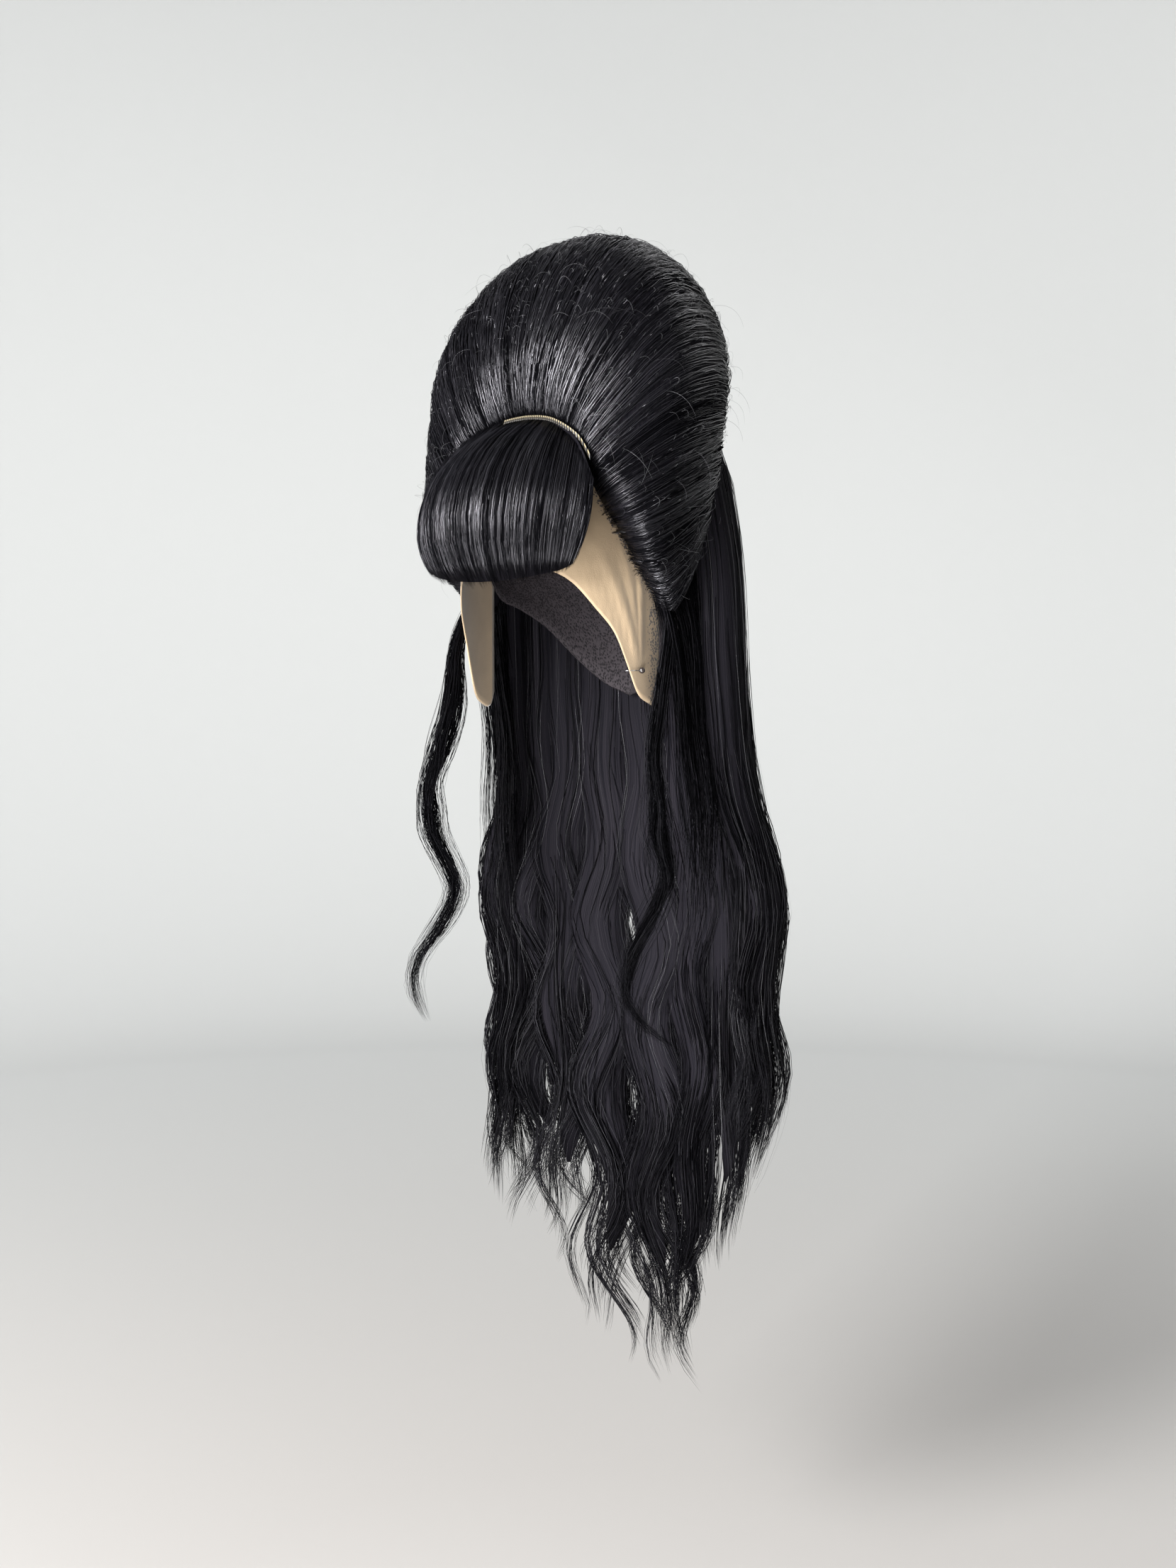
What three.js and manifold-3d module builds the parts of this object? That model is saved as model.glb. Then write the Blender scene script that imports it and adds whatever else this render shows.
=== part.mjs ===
// A long beehive wig: a net cap with a lace front, a tall teased crown, temple hair swept up to it, a full
// rounded fringe under an arched parting, two waved side locks and a long waved fall.
// Units are millimetres. The wig faces -Y, +X is the wearer's left, and the origin is where the top of the
// head touches the inside of the cap.
import * as THREE from "three";
import { mergeVertices } from "three/addons/utils/BufferGeometryUtils.js";
import Module from "manifold-3d";

const wasm = await Module();
wasm.setup();

const DEG = Math.PI / 180;

// Head form that the cap is made for
const HEAD_WIDTH = 158;
const HEAD_LENGTH = 202;
const HEAD_RISE = 120; // from the widest level up to the top
const HEAD_POWER = 2.4; // roundness of the dome, 2 is an ellipse
const NAPE_TUCK = 16; // how far the nape draws in
const NAPE_DROP = 90; // from the widest level down to the nape

// Walls and the space left between pieces that touch
const CAP_WALL = 1.2;
const LACE_WALL = 1;
const FIT_GAP = 0.4;
const FIT_TURN = 0.25; // the same space as an angle at the eye of the form, in degrees

// Beehive crown, measured from an upright axis that leans back
const CROWN_RISE = 172; // above the top of the head
const CROWN_WAIST = 40; // height where the dome starts
const CROWN_WIDTH = 240;
const CROWN_FRONT = 80; // front reach from the axis
const CROWN_BACK = 110; // back reach from the axis
const SKIRT_DROP = 180; // from the waist down to the ears
const CROWN_SET = 3; // how far the axis is behind the head's middle
const CROWN_LEAN = 0.17; // further set-back for each millimetre of height
const FRONT_POWER = 3; // the front is squarer than the back
const BACK_POWER = 2.2;
const EDGE_LIFT = 38; // greatest distance of the hair's edge from the head
const EDGE_ROLL = 16; // angle over which the hair swells out from its edge

// Fringe, an egg-shaped roll of hair
const ROLL_WIDTH = 230;
const ROLL_FRONT = 134;
const ROLL_LEVEL = -75; // height of its fullest part
const ROLL_RISE = 99;
const ROLL_FALL = 85;
const FRINGE_DEPTH = 13; // thickness of the hair at the cut edge
const FRINGE_COLUMNS = 12; // on each side of the middle
const FRINGE_TOP_TURN = 38;
const FRINGE_CUT_TURN = 29;
const FRINGE_CUT_TILT = 113;
const FRINGE_CUT_ARCH = 3.5; // how much higher the corners of the cut are, in degrees
const FRINGE_ROOT = 0.45; // share of the way down where it has left the head
const FRINGE_START = 0.13; // share where the smooth roll starts
const STEP_SHARE = 0.008; // share that the step beside the band takes

// Mesh band in the parting
const BAND_WALL = 1;
const BAND_TURN = 2.6; // its width, as an angle
const BAND_STAND = 3.5; // how far its upper edge stands up against the crown
const BAND_FROM = -4; // its ends, in columns of the fringe
const BAND_TO = 11;

// Long hair
const FALL_LENGTH = 812; // from the top of the head to the longest tip
const LOCK_WIDTH = 64;
const LOCK_DEPTH = 34;
const WAVE_LENGTH = 150;
const WAVE_DEPTH = 12;
const WAVE_FROM = 0.18; // share of the fall's length where its waves start
const WAVE_FULL = 0.5; // and where they are full
const SPREAD_FROM = 0.5; // share of the fall's length where tips start to move out
const SPREAD_FULL = 0.8; // and where they have done so
const TIP_SHARE = 0.78; // share of a lock's length where it starts to thin out
const SIDE_LOCK_DROP = 474; // from the top of the head to the tip
const SIDE_LOCK_WIDTH = 24;
const SIDE_LOCK_DEPTH = 12;

// Pin in the lace
const PIN_TURN = 61.5;
const PIN_TILT = 143.8;
const PIN_HEAD = 4.8;
const PIN_SHAFT = 1;
const PIN_LENGTH = 15;
const PIN_RISE = 1.2; // how far above the pleats' meeting point the ball is, in degrees
const PIN_AIM = 11; // how far round the pin's tip aims, in degrees

// Pleats above the pin, in degrees except for their rise
const PLEAT_RISE = 3;
const PLEAT_TURN = 32; // where the pleated part of the lace starts
const PLEAT_REACH = 44; // how far above the pin they run
const PLEAT_END = 6; // how far above the pin they have their full rise
const PLEAT_TUCK = 5; // how far below the hairline they have it

// Temple hair, as turns
const SWEEP_FROM = 44;
const SWEEP_TO = 107;
const SWEEP_END = 112; // its thin end behind the ear

// Every shell is drawn along rays from this point inside the head. A ray's turn goes round from the front
// to the wearer's left, and its tilt goes down from straight up.
const EYE = new THREE.Vector3(0, HEAD_LENGTH * 0.1, -HEAD_RISE / 2);

// Lower edge of the combed-up hair: arched parting, temple hairline, ear, then up behind the ear and round
// the back of the crown. Lift is how far the edge stands off the head, as a share of the greatest.
const HAIR_EDGE = [
  { turn: 0, tilt: 47.6, lift: 0.75 },
  { turn: 12, tilt: 49.4, lift: 0.76 },
  { turn: 20, tilt: 53.6, lift: 0.78 },
  { turn: 30, tilt: 63, lift: 0.88 },
  { turn: 34, tilt: 71, lift: 0.92 },
  { turn: 38, tilt: 82, lift: 0.58 },
  { turn: 42, tilt: 90, lift: 0.13 },
  { turn: 48, tilt: 99, lift: 0.11 },
  { turn: 56, tilt: 111, lift: 0.11 },
  { turn: 68, tilt: 123, lift: 0.13 },
  { turn: 77, tilt: 131, lift: 0.18 },
  { turn: 85, tilt: 128, lift: 0.29 },
  { turn: 93, tilt: 117, lift: 0.42 },
  { turn: 100, tilt: 102, lift: 0.58 },
  { turn: 106, tilt: 85, lift: 0.68 },
  { turn: 112, tilt: 69, lift: 0.84 },
  { turn: 124, tilt: 63, lift: 0.95 },
  { turn: 150, tilt: 63, lift: 1 },
  { turn: 180, tilt: 64, lift: 1 },
];

// Seam between the crown and the hair swept up to it
const SEAM = [
  { turn: 34, tilt: 68 },
  { turn: 60, tilt: 65 },
  { turn: 90, tilt: 62 },
  { turn: 110, tilt: 60 },
  { turn: 120, tilt: 80 },
];

// Where the net cap ends: under the parting, over the ear, at the nape
const CAP_EDGE = [
  { turn: 0, tilt: 30 },
  { turn: 20, tilt: 38 },
  { turn: 40, tilt: 62 },
  { turn: 60, tilt: 98 },
  { turn: 82, tilt: 124 },
  { turn: 100, tilt: 130 },
  { turn: 120, tilt: 136 },
  { turn: 140, tilt: 144 },
  { turn: 160, tilt: 150 },
  { turn: 180, tilt: 153 },
];

// Free edge of the lace, from the forehead to the tab in front of the ear
const LACE_END = 78;
const LACE_EDGE = [
  { turn: 0, tilt: 107 },
  { turn: 14, tilt: 110 },
  { turn: 26, tilt: 115 },
  { turn: 38, tilt: 126 },
  { turn: 46, tilt: 133 },
  { turn: 53, tilt: 141 },
  { turn: 59, tilt: 146.5 },
  { turn: 66, tilt: 149 },
  { turn: 75, tilt: 150.5 },
  { turn: 78, tilt: 149 },
];

// Pleats of the lace that draw together at the pin
const PLEATS = [
  { lean: -34, wide: 3.2, rise: 1 },
  { lean: -15, wide: 2.8, rise: 0.7 },
  { lean: 3, wide: 3, rise: 0.9 },
];

// How the combed-up hair narrows from the crown's waist down to the ears, by share of the way
const SKIRT = [
  { drop: 0, half: 1, back: 1 },
  { drop: 0.2, half: 0.99, back: 1 },
  { drop: 0.45, half: 0.96, back: 0.99 },
  { drop: 0.7, half: 0.9, back: 0.96 },
  { drop: 1, half: 0.78, back: 0.9 },
];

// Outline of the long fall on the way down. Down is a share of the fall's length, half (half its width) is a
// share of half the crown's width, and middle (how far its centre is behind the head's) and back (the reach
// from there) are shares of the crown's reach to the back.
const FALL_FORM = [
  { down: -0.03, half: 0.8, middle: 0.36, back: 0.69 },
  { down: 0, half: 0.88, middle: 0.44, back: 0.71 },
  { down: 0.05, half: 0.94, middle: 0.49, back: 0.71 },
  { down: 0.12, half: 1, middle: 0.53, back: 0.65 },
  { down: 0.25, half: 1.02, middle: 0.6, back: 0.58 },
  { down: 0.35, half: 1.06, middle: 0.73, back: 0.51 },
  { down: 0.41, half: 1.17, middle: 0.76, back: 0.49 },
  { down: 0.47, half: 1.23, middle: 0.8, back: 0.47 },
  { down: 0.555, half: 1.13, middle: 0.84, back: 0.45 },
  { down: 0.64, half: 1.22, middle: 0.88, back: 0.42 },
  { down: 0.74, half: 1.12, middle: 0.91, back: 0.38 },
  { down: 0.84, half: 0.93, middle: 0.93, back: 0.35 },
  { down: 1, half: 0.8, middle: 0.95, back: 0.31 },
];

// Locks of the fall, from the ear to the middle of the back. Length, wide and wave are shares of the fall's
// length, the lock width and the wave depth. Spread is how far the tip moves out, in lock widths.
const LOCKS_LEFT = [
  { turn: 86, length: 0.735, wide: 0.72, wave: 0.33, phase: 0.1, spread: -0.06 },
  { turn: 104, length: 0.75, wide: 0.81, wave: 0.67, phase: 0.55, spread: 0 },
  { turn: 122, length: 0.78, wide: 0.84, wave: 0.75, phase: 0.2, spread: 0 },
  { turn: 140, length: 0.87, wide: 0.91, wave: 0.67, phase: 0.8, spread: 0 },
];
const LOCKS_BACK = [
  { turn: 158, length: 0.97, wide: 1, wave: 0.83, phase: 0.35, spread: 0 },
  { turn: 178, length: 1, wide: 1, wave: 1, phase: 0.05, spread: 0 },
  { turn: 199, length: 0.985, wide: 0.94, wave: 0.75, phase: 0.6, spread: 0 },
];
const LOCKS_RIGHT = [
  { turn: 219, length: 0.88, wide: 0.91, wave: 0.67, phase: 0.15, spread: 0.1 },
  { turn: 237, length: 0.84, wide: 0.87, wave: 0.75, phase: 0.7, spread: 0.22 },
  { turn: 256, length: 0.82, wide: 0.84, wave: 0.58, phase: 0.4, spread: 0.34 },
  { turn: 274, length: 0.79, wide: 0.72, wave: 0.42, phase: 0.9, spread: 0.34 },
];

// Side locks in front of the ears, from root to tip. Down is a share of how far they hang below the top of
// the head, x and y are shares of half the head's width and length, and wide and deep of the lock's own.
const SIDE_LOCK_LEFT = [
  { down: 0.224, x: 1.04, y: 0.06, wide: 0.29, deep: 0.42 },
  { down: 0.266, x: 1.11, y: -0.01, wide: 0.29, deep: 0.42 },
  { down: 0.316, x: 1.14, y: -0.01, wide: 0.54, deep: 0.67 },
  { down: 0.441, x: 1.11, y: -0.09, wide: 0.71, deep: 0.83 },
  { down: 0.519, x: 1.15, y: -0.22, wide: 0.54, deep: 0.83 },
  { down: 0.597, x: 1.2, y: -0.23, wide: 0.67, deep: 0.92 },
  { down: 0.648, x: 1.22, y: -0.23, wide: 0.96, deep: 1 },
  { down: 0.713, x: 1.3, y: -0.22, wide: 0.62, deep: 0.92 },
  { down: 0.774, x: 1.16, y: -0.24, wide: 0.58, deep: 0.92 },
  { down: 0.827, x: 0.99, y: -0.28, wide: 0.58, deep: 0.83 },
  { down: 0.878, x: 0.89, y: -0.29, wide: 0.46, deep: 0.75 },
  { down: 0.914, x: 0.89, y: -0.29, wide: 0.38, deep: 0.67 },
  { down: 0.945, x: 0.99, y: -0.27, wide: 0.33, deep: 0.58 },
  { down: 0.975, x: 1.22, y: -0.24, wide: 0.29, deep: 0.42 },
  { down: 1, x: 1.49, y: -0.2, wide: 0.12, deep: 0.17 },
];
const SIDE_LOCK_RIGHT = [
  { down: 0.203, x: -1.01, y: -0.12, wide: 0.42, deep: 0.42 },
  { down: 0.266, x: -1.09, y: -0.25, wide: 0.5, deep: 0.42 },
  { down: 0.327, x: -1.11, y: -0.38, wide: 0.83, deep: 0.67 },
  { down: 0.428, x: -1.09, y: -0.44, wide: 1.33, deep: 0.83 },
  { down: 0.517, x: -1.2, y: -0.49, wide: 0.92, deep: 0.83 },
  { down: 0.578, x: -1.33, y: -0.52, wide: 0.58, deep: 0.75 },
  { down: 0.608, x: -1.32, y: -0.51, wide: 0.71, deep: 0.75 },
  { down: 0.654, x: -1.28, y: -0.5, wide: 0.58, deep: 0.75 },
  { down: 0.717, x: -1.09, y: -0.46, wide: 0.71, deep: 0.75 },
  { down: 0.755, x: -1.05, y: -0.45, wide: 0.54, deep: 0.67 },
  { down: 0.819, x: -1.23, y: -0.48, wide: 0.58, deep: 0.67 },
  { down: 0.869, x: -1.44, y: -0.53, wide: 0.5, deep: 0.58 },
  { down: 0.914, x: -1.51, y: -0.55, wide: 0.42, deep: 0.5 },
  { down: 0.951, x: -1.46, y: -0.53, wide: 0.38, deep: 0.42 },
  { down: 0.983, x: -1.35, y: -0.51, wide: 0.12, deep: 0.17 },
];

// Value of one column of a table at a given key, on a smooth curve through the rows
function read(rows, key, at, column) {
  const last = rows.length - 1;
  if (at <= rows[0][key]) return rows[0][column];
  if (at >= rows[last][key]) return rows[last][column];
  const i = rows.findIndex((row, n) => n < last && at < rows[n + 1][key]);
  const slope = (m) => {
    const a = rows[Math.max(m - 1, 0)];
    const b = rows[Math.min(m + 1, last)];
    return (b[column] - a[column]) / (b[key] - a[key]);
  };
  const step = rows[i + 1][key] - rows[i][key];
  const t = (at - rows[i][key]) / step;
  const u = 1 - t;
  return (
    rows[i][column] * u * u * (1 + 2 * t) +
    rows[i + 1][column] * t * t * (1 + 2 * u) +
    slope(i) * step * t * u * u -
    slope(i + 1) * step * t * t * u
  );
}

const edgeTilt = (table, turn) => read(table, "turn", Math.abs(turn), "tilt");
const mix = (a, b, share) => a + (b - a) * share;
const clamp = (value) => Math.min(1, Math.max(0, value));
const steps = (from, to, count) => Array.from({ length: count + 1 }, (_, i) => mix(from, to, i / count));

function ray(turn, tilt) {
  const [a, b] = [turn * DEG, tilt * DEG];
  return new THREE.Vector3(Math.sin(b) * Math.sin(a), -Math.sin(b) * Math.cos(a), Math.cos(b));
}

const onRay = (turn, tilt, distance) => ray(turn, tilt).multiplyScalar(distance).add(EYE);

// Distance from the eye along a ray to the skin of a form, found by halving
function reach(turn, tilt, inside) {
  let [near, far] = [0, 4 * (HEAD_LENGTH + CROWN_RISE)];
  for (let i = 0; i < 40; i++) {
    const middle = (near + far) / 2;
    if (inside(onRay(turn, tilt, middle))) near = middle;
    else far = middle;
  }
  return near;
}

// Head: a rounded dome over an upright wall that draws in at the nape
function headReach(turn, tilt, offset) {
  return reach(turn, tilt, (p) => {
    const below = clamp((-HEAD_RISE - p.z) / NAPE_DROP);
    const tuck = p.y > 0 ? NAPE_TUCK * below ** 2 : 0;
    const up = Math.max(0, p.z + HEAD_RISE) / (HEAD_RISE + offset);
    const across = p.x / (HEAD_WIDTH / 2 + offset);
    const along = p.y / (HEAD_LENGTH / 2 + offset - tuck);
    return Math.hypot(across, along) ** HEAD_POWER + up ** HEAD_POWER < 1;
  });
}

// Crown: a leaning dome over a skirt that narrows to the ears
function crownReach(turn, tilt) {
  return reach(turn, tilt, (p) => {
    const over = Math.max(0, (p.z - CROWN_WAIST) / (CROWN_RISE - CROWN_WAIST));
    if (over >= 1) return false;
    const dome = Math.sqrt(1 - over ** 2);
    const drop = (CROWN_WAIST - p.z) / SKIRT_DROP;
    const axis = CROWN_SET + CROWN_LEAN * p.z;
    const front = p.y < axis;
    const half = (CROWN_WIDTH / 2) * read(SKIRT, "drop", drop, "half") * dome;
    const deep = (front ? CROWN_FRONT : CROWN_BACK * read(SKIRT, "drop", drop, "back")) * dome;
    const power = front ? FRONT_POWER : BACK_POWER;
    return Math.abs(p.x / half) ** power + Math.abs((p.y - axis) / deep) ** power < 1;
  });
}

// Skin of the combed-up hair: it leaves its edge close to the head and swells out to the crown
function hairReach(turn, tilt) {
  const edge = edgeTilt(HAIR_EDGE, turn);
  const root = headReach(turn, edge, 0) + EDGE_LIFT * read(HAIR_EDGE, "turn", Math.abs(turn), "lift");
  const swell = Math.sqrt(1 - (1 - clamp((edge - tilt) / EDGE_ROLL)) ** 2);
  return mix(root, Math.max(root, crownReach(turn, tilt)), swell);
}

function rollReach(turn, tilt) {
  return reach(turn, tilt, (p) => {
    const high = p.z - ROLL_LEVEL;
    const tall = high > 0 ? ROLL_RISE : ROLL_FALL;
    return (p.x / (ROLL_WIDTH / 2)) ** 2 + (p.y / ROLL_FRONT) ** 2 + (high / tall) ** 2 < 1;
  });
}

function solidOf(geometry) {
  const bare = new THREE.BufferGeometry();
  bare.setAttribute("position", geometry.getAttribute("position"));
  const merged = mergeVertices(bare, 1e-4);
  const vertProperties = merged.attributes.position.array;
  const triVerts = new Uint32Array(merged.index.array);
  const solid = new wasm.Manifold(new wasm.Mesh({ numProp: 3, vertProperties, triVerts }));
  if (solid.volume() > 0) return solid;
  triVerts.reverse();
  return new wasm.Manifold(new wasm.Mesh({ numProp: 3, vertProperties, triVerts }));
}

// Closed solid between two grids of points of the same size. A row may shrink to a point. The outer grid's
// rows go down and its columns go round towards the wearer's left.
function shellSolid(outer, inner, wrap) {
  const rows = outer.length - 1;
  const columns = outer[0].length - (wrap ? 0 : 1);
  const corners = [];
  const face = (a, b, c) => {
    const shut = [[a, b], [b, c], [c, a]].some(([p, q]) => p.distanceTo(q) < 1e-3);
    if (!shut) corners.push(a, b, c);
  };
  const quad = (a, b, c, d) => {
    const turned = a.distanceTo(c) > b.distanceTo(d) + 1e-3;
    face(...(turned ? [a, b, d] : [a, b, c]));
    face(...(turned ? [b, c, d] : [a, c, d]));
  };
  for (let j = 0; j < columns; j++) {
    const k = (j + 1) % outer[0].length;
    for (let i = 0; i < rows; i++) {
      quad(outer[i][j], outer[i + 1][j], outer[i + 1][k], outer[i][k]);
      quad(inner[i][j], inner[i][k], inner[i + 1][k], inner[i + 1][j]);
    }
    quad(outer[rows][k], outer[rows][j], inner[rows][j], inner[rows][k]);
    quad(outer[0][j], outer[0][k], inner[0][k], inner[0][j]);
  }
  for (let i = 0; i < rows && !wrap; i++) {
    quad(outer[i + 1][0], outer[i][0], inner[i][0], inner[i + 1][0]);
    quad(outer[i][columns], outer[i + 1][columns], inner[i + 1][columns], inner[i][columns]);
  }
  return solidOf(new THREE.BufferGeometry().setFromPoints(corners));
}

// Room that a piece needs, with the fit gap on every side of it
function withGap(solid) {
  const sides = [[1, 0, 0], [-1, 0, 0], [0, 1, 0], [0, -1, 0], [0, 0, 1], [0, 0, -1]];
  const moved = sides.map((side) => solid.translate(side.map((part) => part * FIT_GAP)));
  return wasm.Manifold.union(moved);
}

const grid = (shares, turns, point) => shares.map((share) => turns.map((turn) => point(turn, share)));
const mainBody = (solid) => solid.decompose().sort((a, b) => b.volume() - a.volume())[0];
const ROUND = steps(-180, 180, 36).slice(0, -1);
const SEAT_TILT = 158; // past the nape
const FRONT = steps(-FRINGE_TOP_TURN, FRINGE_TOP_TURN, 2 * FRINGE_COLUMNS);
const REST = steps(FRINGE_TOP_TURN, 360 - FRINGE_TOP_TURN, 32).slice(1, -1);

function capSolid() {
  const layer = (offset) =>
    grid(steps(0, 1, 6), ROUND, (turn, share) => {
      const tilt = share * edgeTilt(CAP_EDGE, turn);
      return onRay(turn, tilt, headReach(turn, tilt, offset));
    });
  return shellSolid(layer(CAP_WALL), layer(0), true);
}

// Whole head with the cap on it, for seating the hair
function seatSolid() {
  const skin = grid(steps(0, 1, 14), ROUND, (turn, share) => {
    const tilt = share * SEAT_TILT;
    return onRay(turn, tilt, headReach(turn, tilt, CAP_WALL + FIT_GAP));
  });
  return shellSolid(skin, skin.map((row) => row.map(() => EYE)), true);
}

// Crown: teased hair from the cap out to its skin
function crownSolid() {
  const turns = [...FRONT, ...REST.map((turn) => (turn > 180 ? turn - 360 : turn))];
  const layer = (distance) =>
    grid(steps(0, 1, 8), turns, (turn, share) => {
      const edge = Math.min(edgeTilt(HAIR_EDGE, turn), edgeTilt(SEAM, turn));
      return onRay(turn, share * edge, distance(turn, share * edge));
    });
  const outer = layer(hairReach);
  const inner = layer((turn, tilt) => headReach(turn, tilt, CAP_WALL + FIT_GAP));
  return shellSolid(outer, inner, true);
}

// Temple hair, from the seam down to the hairline and round to behind the ear
function sweepSolid(side) {
  const columns = [...FRONT.slice(-2), ...steps(SWEEP_FROM, SWEEP_TO, 10), SWEEP_END];
  const turns = columns.map((turn) => side * turn);
  if (side < 0) turns.reverse();
  const layer = (distance) =>
    grid(steps(0, 1, 5), turns, (turn, share) => {
      const edge = edgeTilt(HAIR_EDGE, turn);
      const tilt = mix(Math.min(edge, edgeTilt(SEAM, turn)) - 1, edge, share);
      return onRay(turn, tilt, distance(turn, tilt));
    });
  const outer = layer(hairReach);
  const inner = layer((turn, tilt) => headReach(turn, tilt, CAP_WALL + FIT_GAP));
  return shellSolid(outer, inner, false);
}

// Fringe: rooted all along the parting, with a step for the mesh band, then a roll with a blunt cut
function fringeSolid() {
  const sides = steps(-1, 1, 2 * FRINGE_COLUMNS);
  const place = (side, share) => {
    const top = FRINGE_TOP_TURN * side;
    const turn = mix(top, FRINGE_CUT_TURN * side, share);
    const cut = FRINGE_CUT_TILT - FRINGE_CUT_ARCH * side ** 2;
    return { turn, tilt: mix(edgeTilt(HAIR_EDGE, top) + FIT_TURN, cut, share) };
  };
  const bandShare = (side) => BAND_TURN / (FRINGE_CUT_TILT - edgeTilt(HAIR_EDGE, FRINGE_TOP_TURN * side));
  const sunk = BAND_WALL + FIT_GAP;
  const rows = [
    { at: () => 0, sunk: sunk - BAND_STAND },
    { at: bandShare, sunk },
    { at: (side) => bandShare(side) + STEP_SHARE, sunk: 0 },
    ...steps(FRINGE_START, 1, 7).map((share) => ({ at: () => share, sunk: 0 })),
  ];
  const outer = rows.map(({ at, sunk }) =>
    sides.map((side) => {
      const { turn, tilt } = place(side, at(side));
      return onRay(turn, tilt, rollReach(turn, tilt) - sunk);
    }),
  );
  const inner = rows.map(({ at }) =>
    sides.map((side) => {
      const { turn, tilt } = place(side, at(side));
      const seat = headReach(turn, tilt, CAP_WALL + FIT_GAP);
      const under = Math.max(seat, rollReach(turn, tilt) - FRINGE_DEPTH);
      return onRay(turn, tilt, mix(seat, under, clamp(at(side) / FRINGE_ROOT) ** 2));
    }),
  );
  return shellSolid(outer, inner, false);
}

// Mesh band lying in the step along the parting
function bandSolid() {
  const columns = steps(BAND_FROM, BAND_TO, BAND_TO - BAND_FROM);
  const turns = columns.map((column) => (FRINGE_TOP_TURN * column) / FRINGE_COLUMNS);
  const layer = (sunk) =>
    grid([0, 1], turns, (turn, share) => {
      const down = share * (BAND_TURN - 3 * FIT_TURN);
      const tilt = edgeTilt(HAIR_EDGE, turn) + FIT_TURN + down;
      return onRay(turn, tilt, rollReach(turn, tilt) + BAND_STAND * (1 - down / BAND_TURN) - sunk);
    });
  return shellSolid(layer(0), layer(BAND_WALL), false);
}

// Lace: one sheet on the head, pleated towards the pin on the wearer's left
function pleatRise(turn, tilt) {
  const above = PIN_TILT - tilt;
  if (above < 0 || tilt < edgeTilt(HAIR_EDGE, turn)) return 0;
  const below = tilt - edgeTilt(HAIR_EDGE, turn);
  const fade = clamp(above / PLEAT_END) * clamp(1 - above / PLEAT_REACH) * clamp(below / PLEAT_TUCK);
  const ridges = PLEATS.map(({ lean, wide, rise }) => {
    const off = turn - PIN_TURN - above * Math.tan(lean * DEG);
    return rise * Math.exp(-((off / wide) ** 2));
  });
  return PLEAT_RISE * fade * Math.max(...ridges);
}

function laceSolid() {
  const turns = [...steps(-LACE_END, PLEAT_TURN, 15).slice(0, -1), ...steps(PLEAT_TURN, LACE_END, 18)];
  const layer = (offset) =>
    grid(steps(0, 1, 8), turns, (turn, share) => {
      const tilt = mix(edgeTilt(CAP_EDGE, turn) + FIT_TURN * 2, edgeTilt(LACE_EDGE, turn), share);
      return onRay(turn, tilt, headReach(turn, tilt, offset) + pleatRise(turn, tilt));
    });
  return shellSolid(layer(LACE_WALL), layer(0), false);
}

// Ball-headed pin, run sideways through the pleats
function pinSolid() {
  const on = (turn, tilt, height) => onRay(turn, tilt, headReach(turn, tilt, LACE_WALL + height));
  const ball = on(PIN_TURN, PIN_TILT - PIN_RISE, FIT_GAP + PIN_HEAD / 2);
  const tip = on(PIN_TURN - PIN_AIM, PIN_TILT - 2 * PIN_RISE, PIN_SHAFT);
  const along = tip.clone().sub(ball).normalize();
  const across = along.clone().cross(new THREE.Vector3(0, 0, 1)).normalize();
  const out = across.clone().cross(along);
  const section = (at, radius) => {
    const wide = 2 * radius;
    return { centre: ball.clone().addScaledVector(along, at), across, out, wide, deep: wide };
  };
  const radius = PIN_HEAD / 2;
  const neck = PIN_SHAFT / 2;
  const arc = steps(170, Math.asin(neck / radius) / DEG, 6);
  const onBall = (angle) => section(radius * Math.cos(angle), radius * Math.sin(angle));
  const sections = arc.map((angle) => onBall(angle * DEG));
  sections.push(section(PIN_LENGTH, neck));
  return lockSolid(sections, 10);
}

// Lock: oval sections along a path, each with a width and a depth, closed at both ends
function lockSolid(sections, sides) {
  const around = Array.from({ length: sides }, (_, i) => (2 * Math.PI * i) / sides);
  const rings = sections.map(({ centre, across, out, wide, deep }) =>
    around.map((angle) =>
      centre
        .clone()
        .addScaledVector(across, (wide / 2) * Math.cos(angle))
        .addScaledVector(out, (deep / 2) * Math.sin(angle)),
    ),
  );
  const core = sections.map(({ centre }) => around.map(() => centre));
  return shellSolid(rings, core, true);
}

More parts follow.
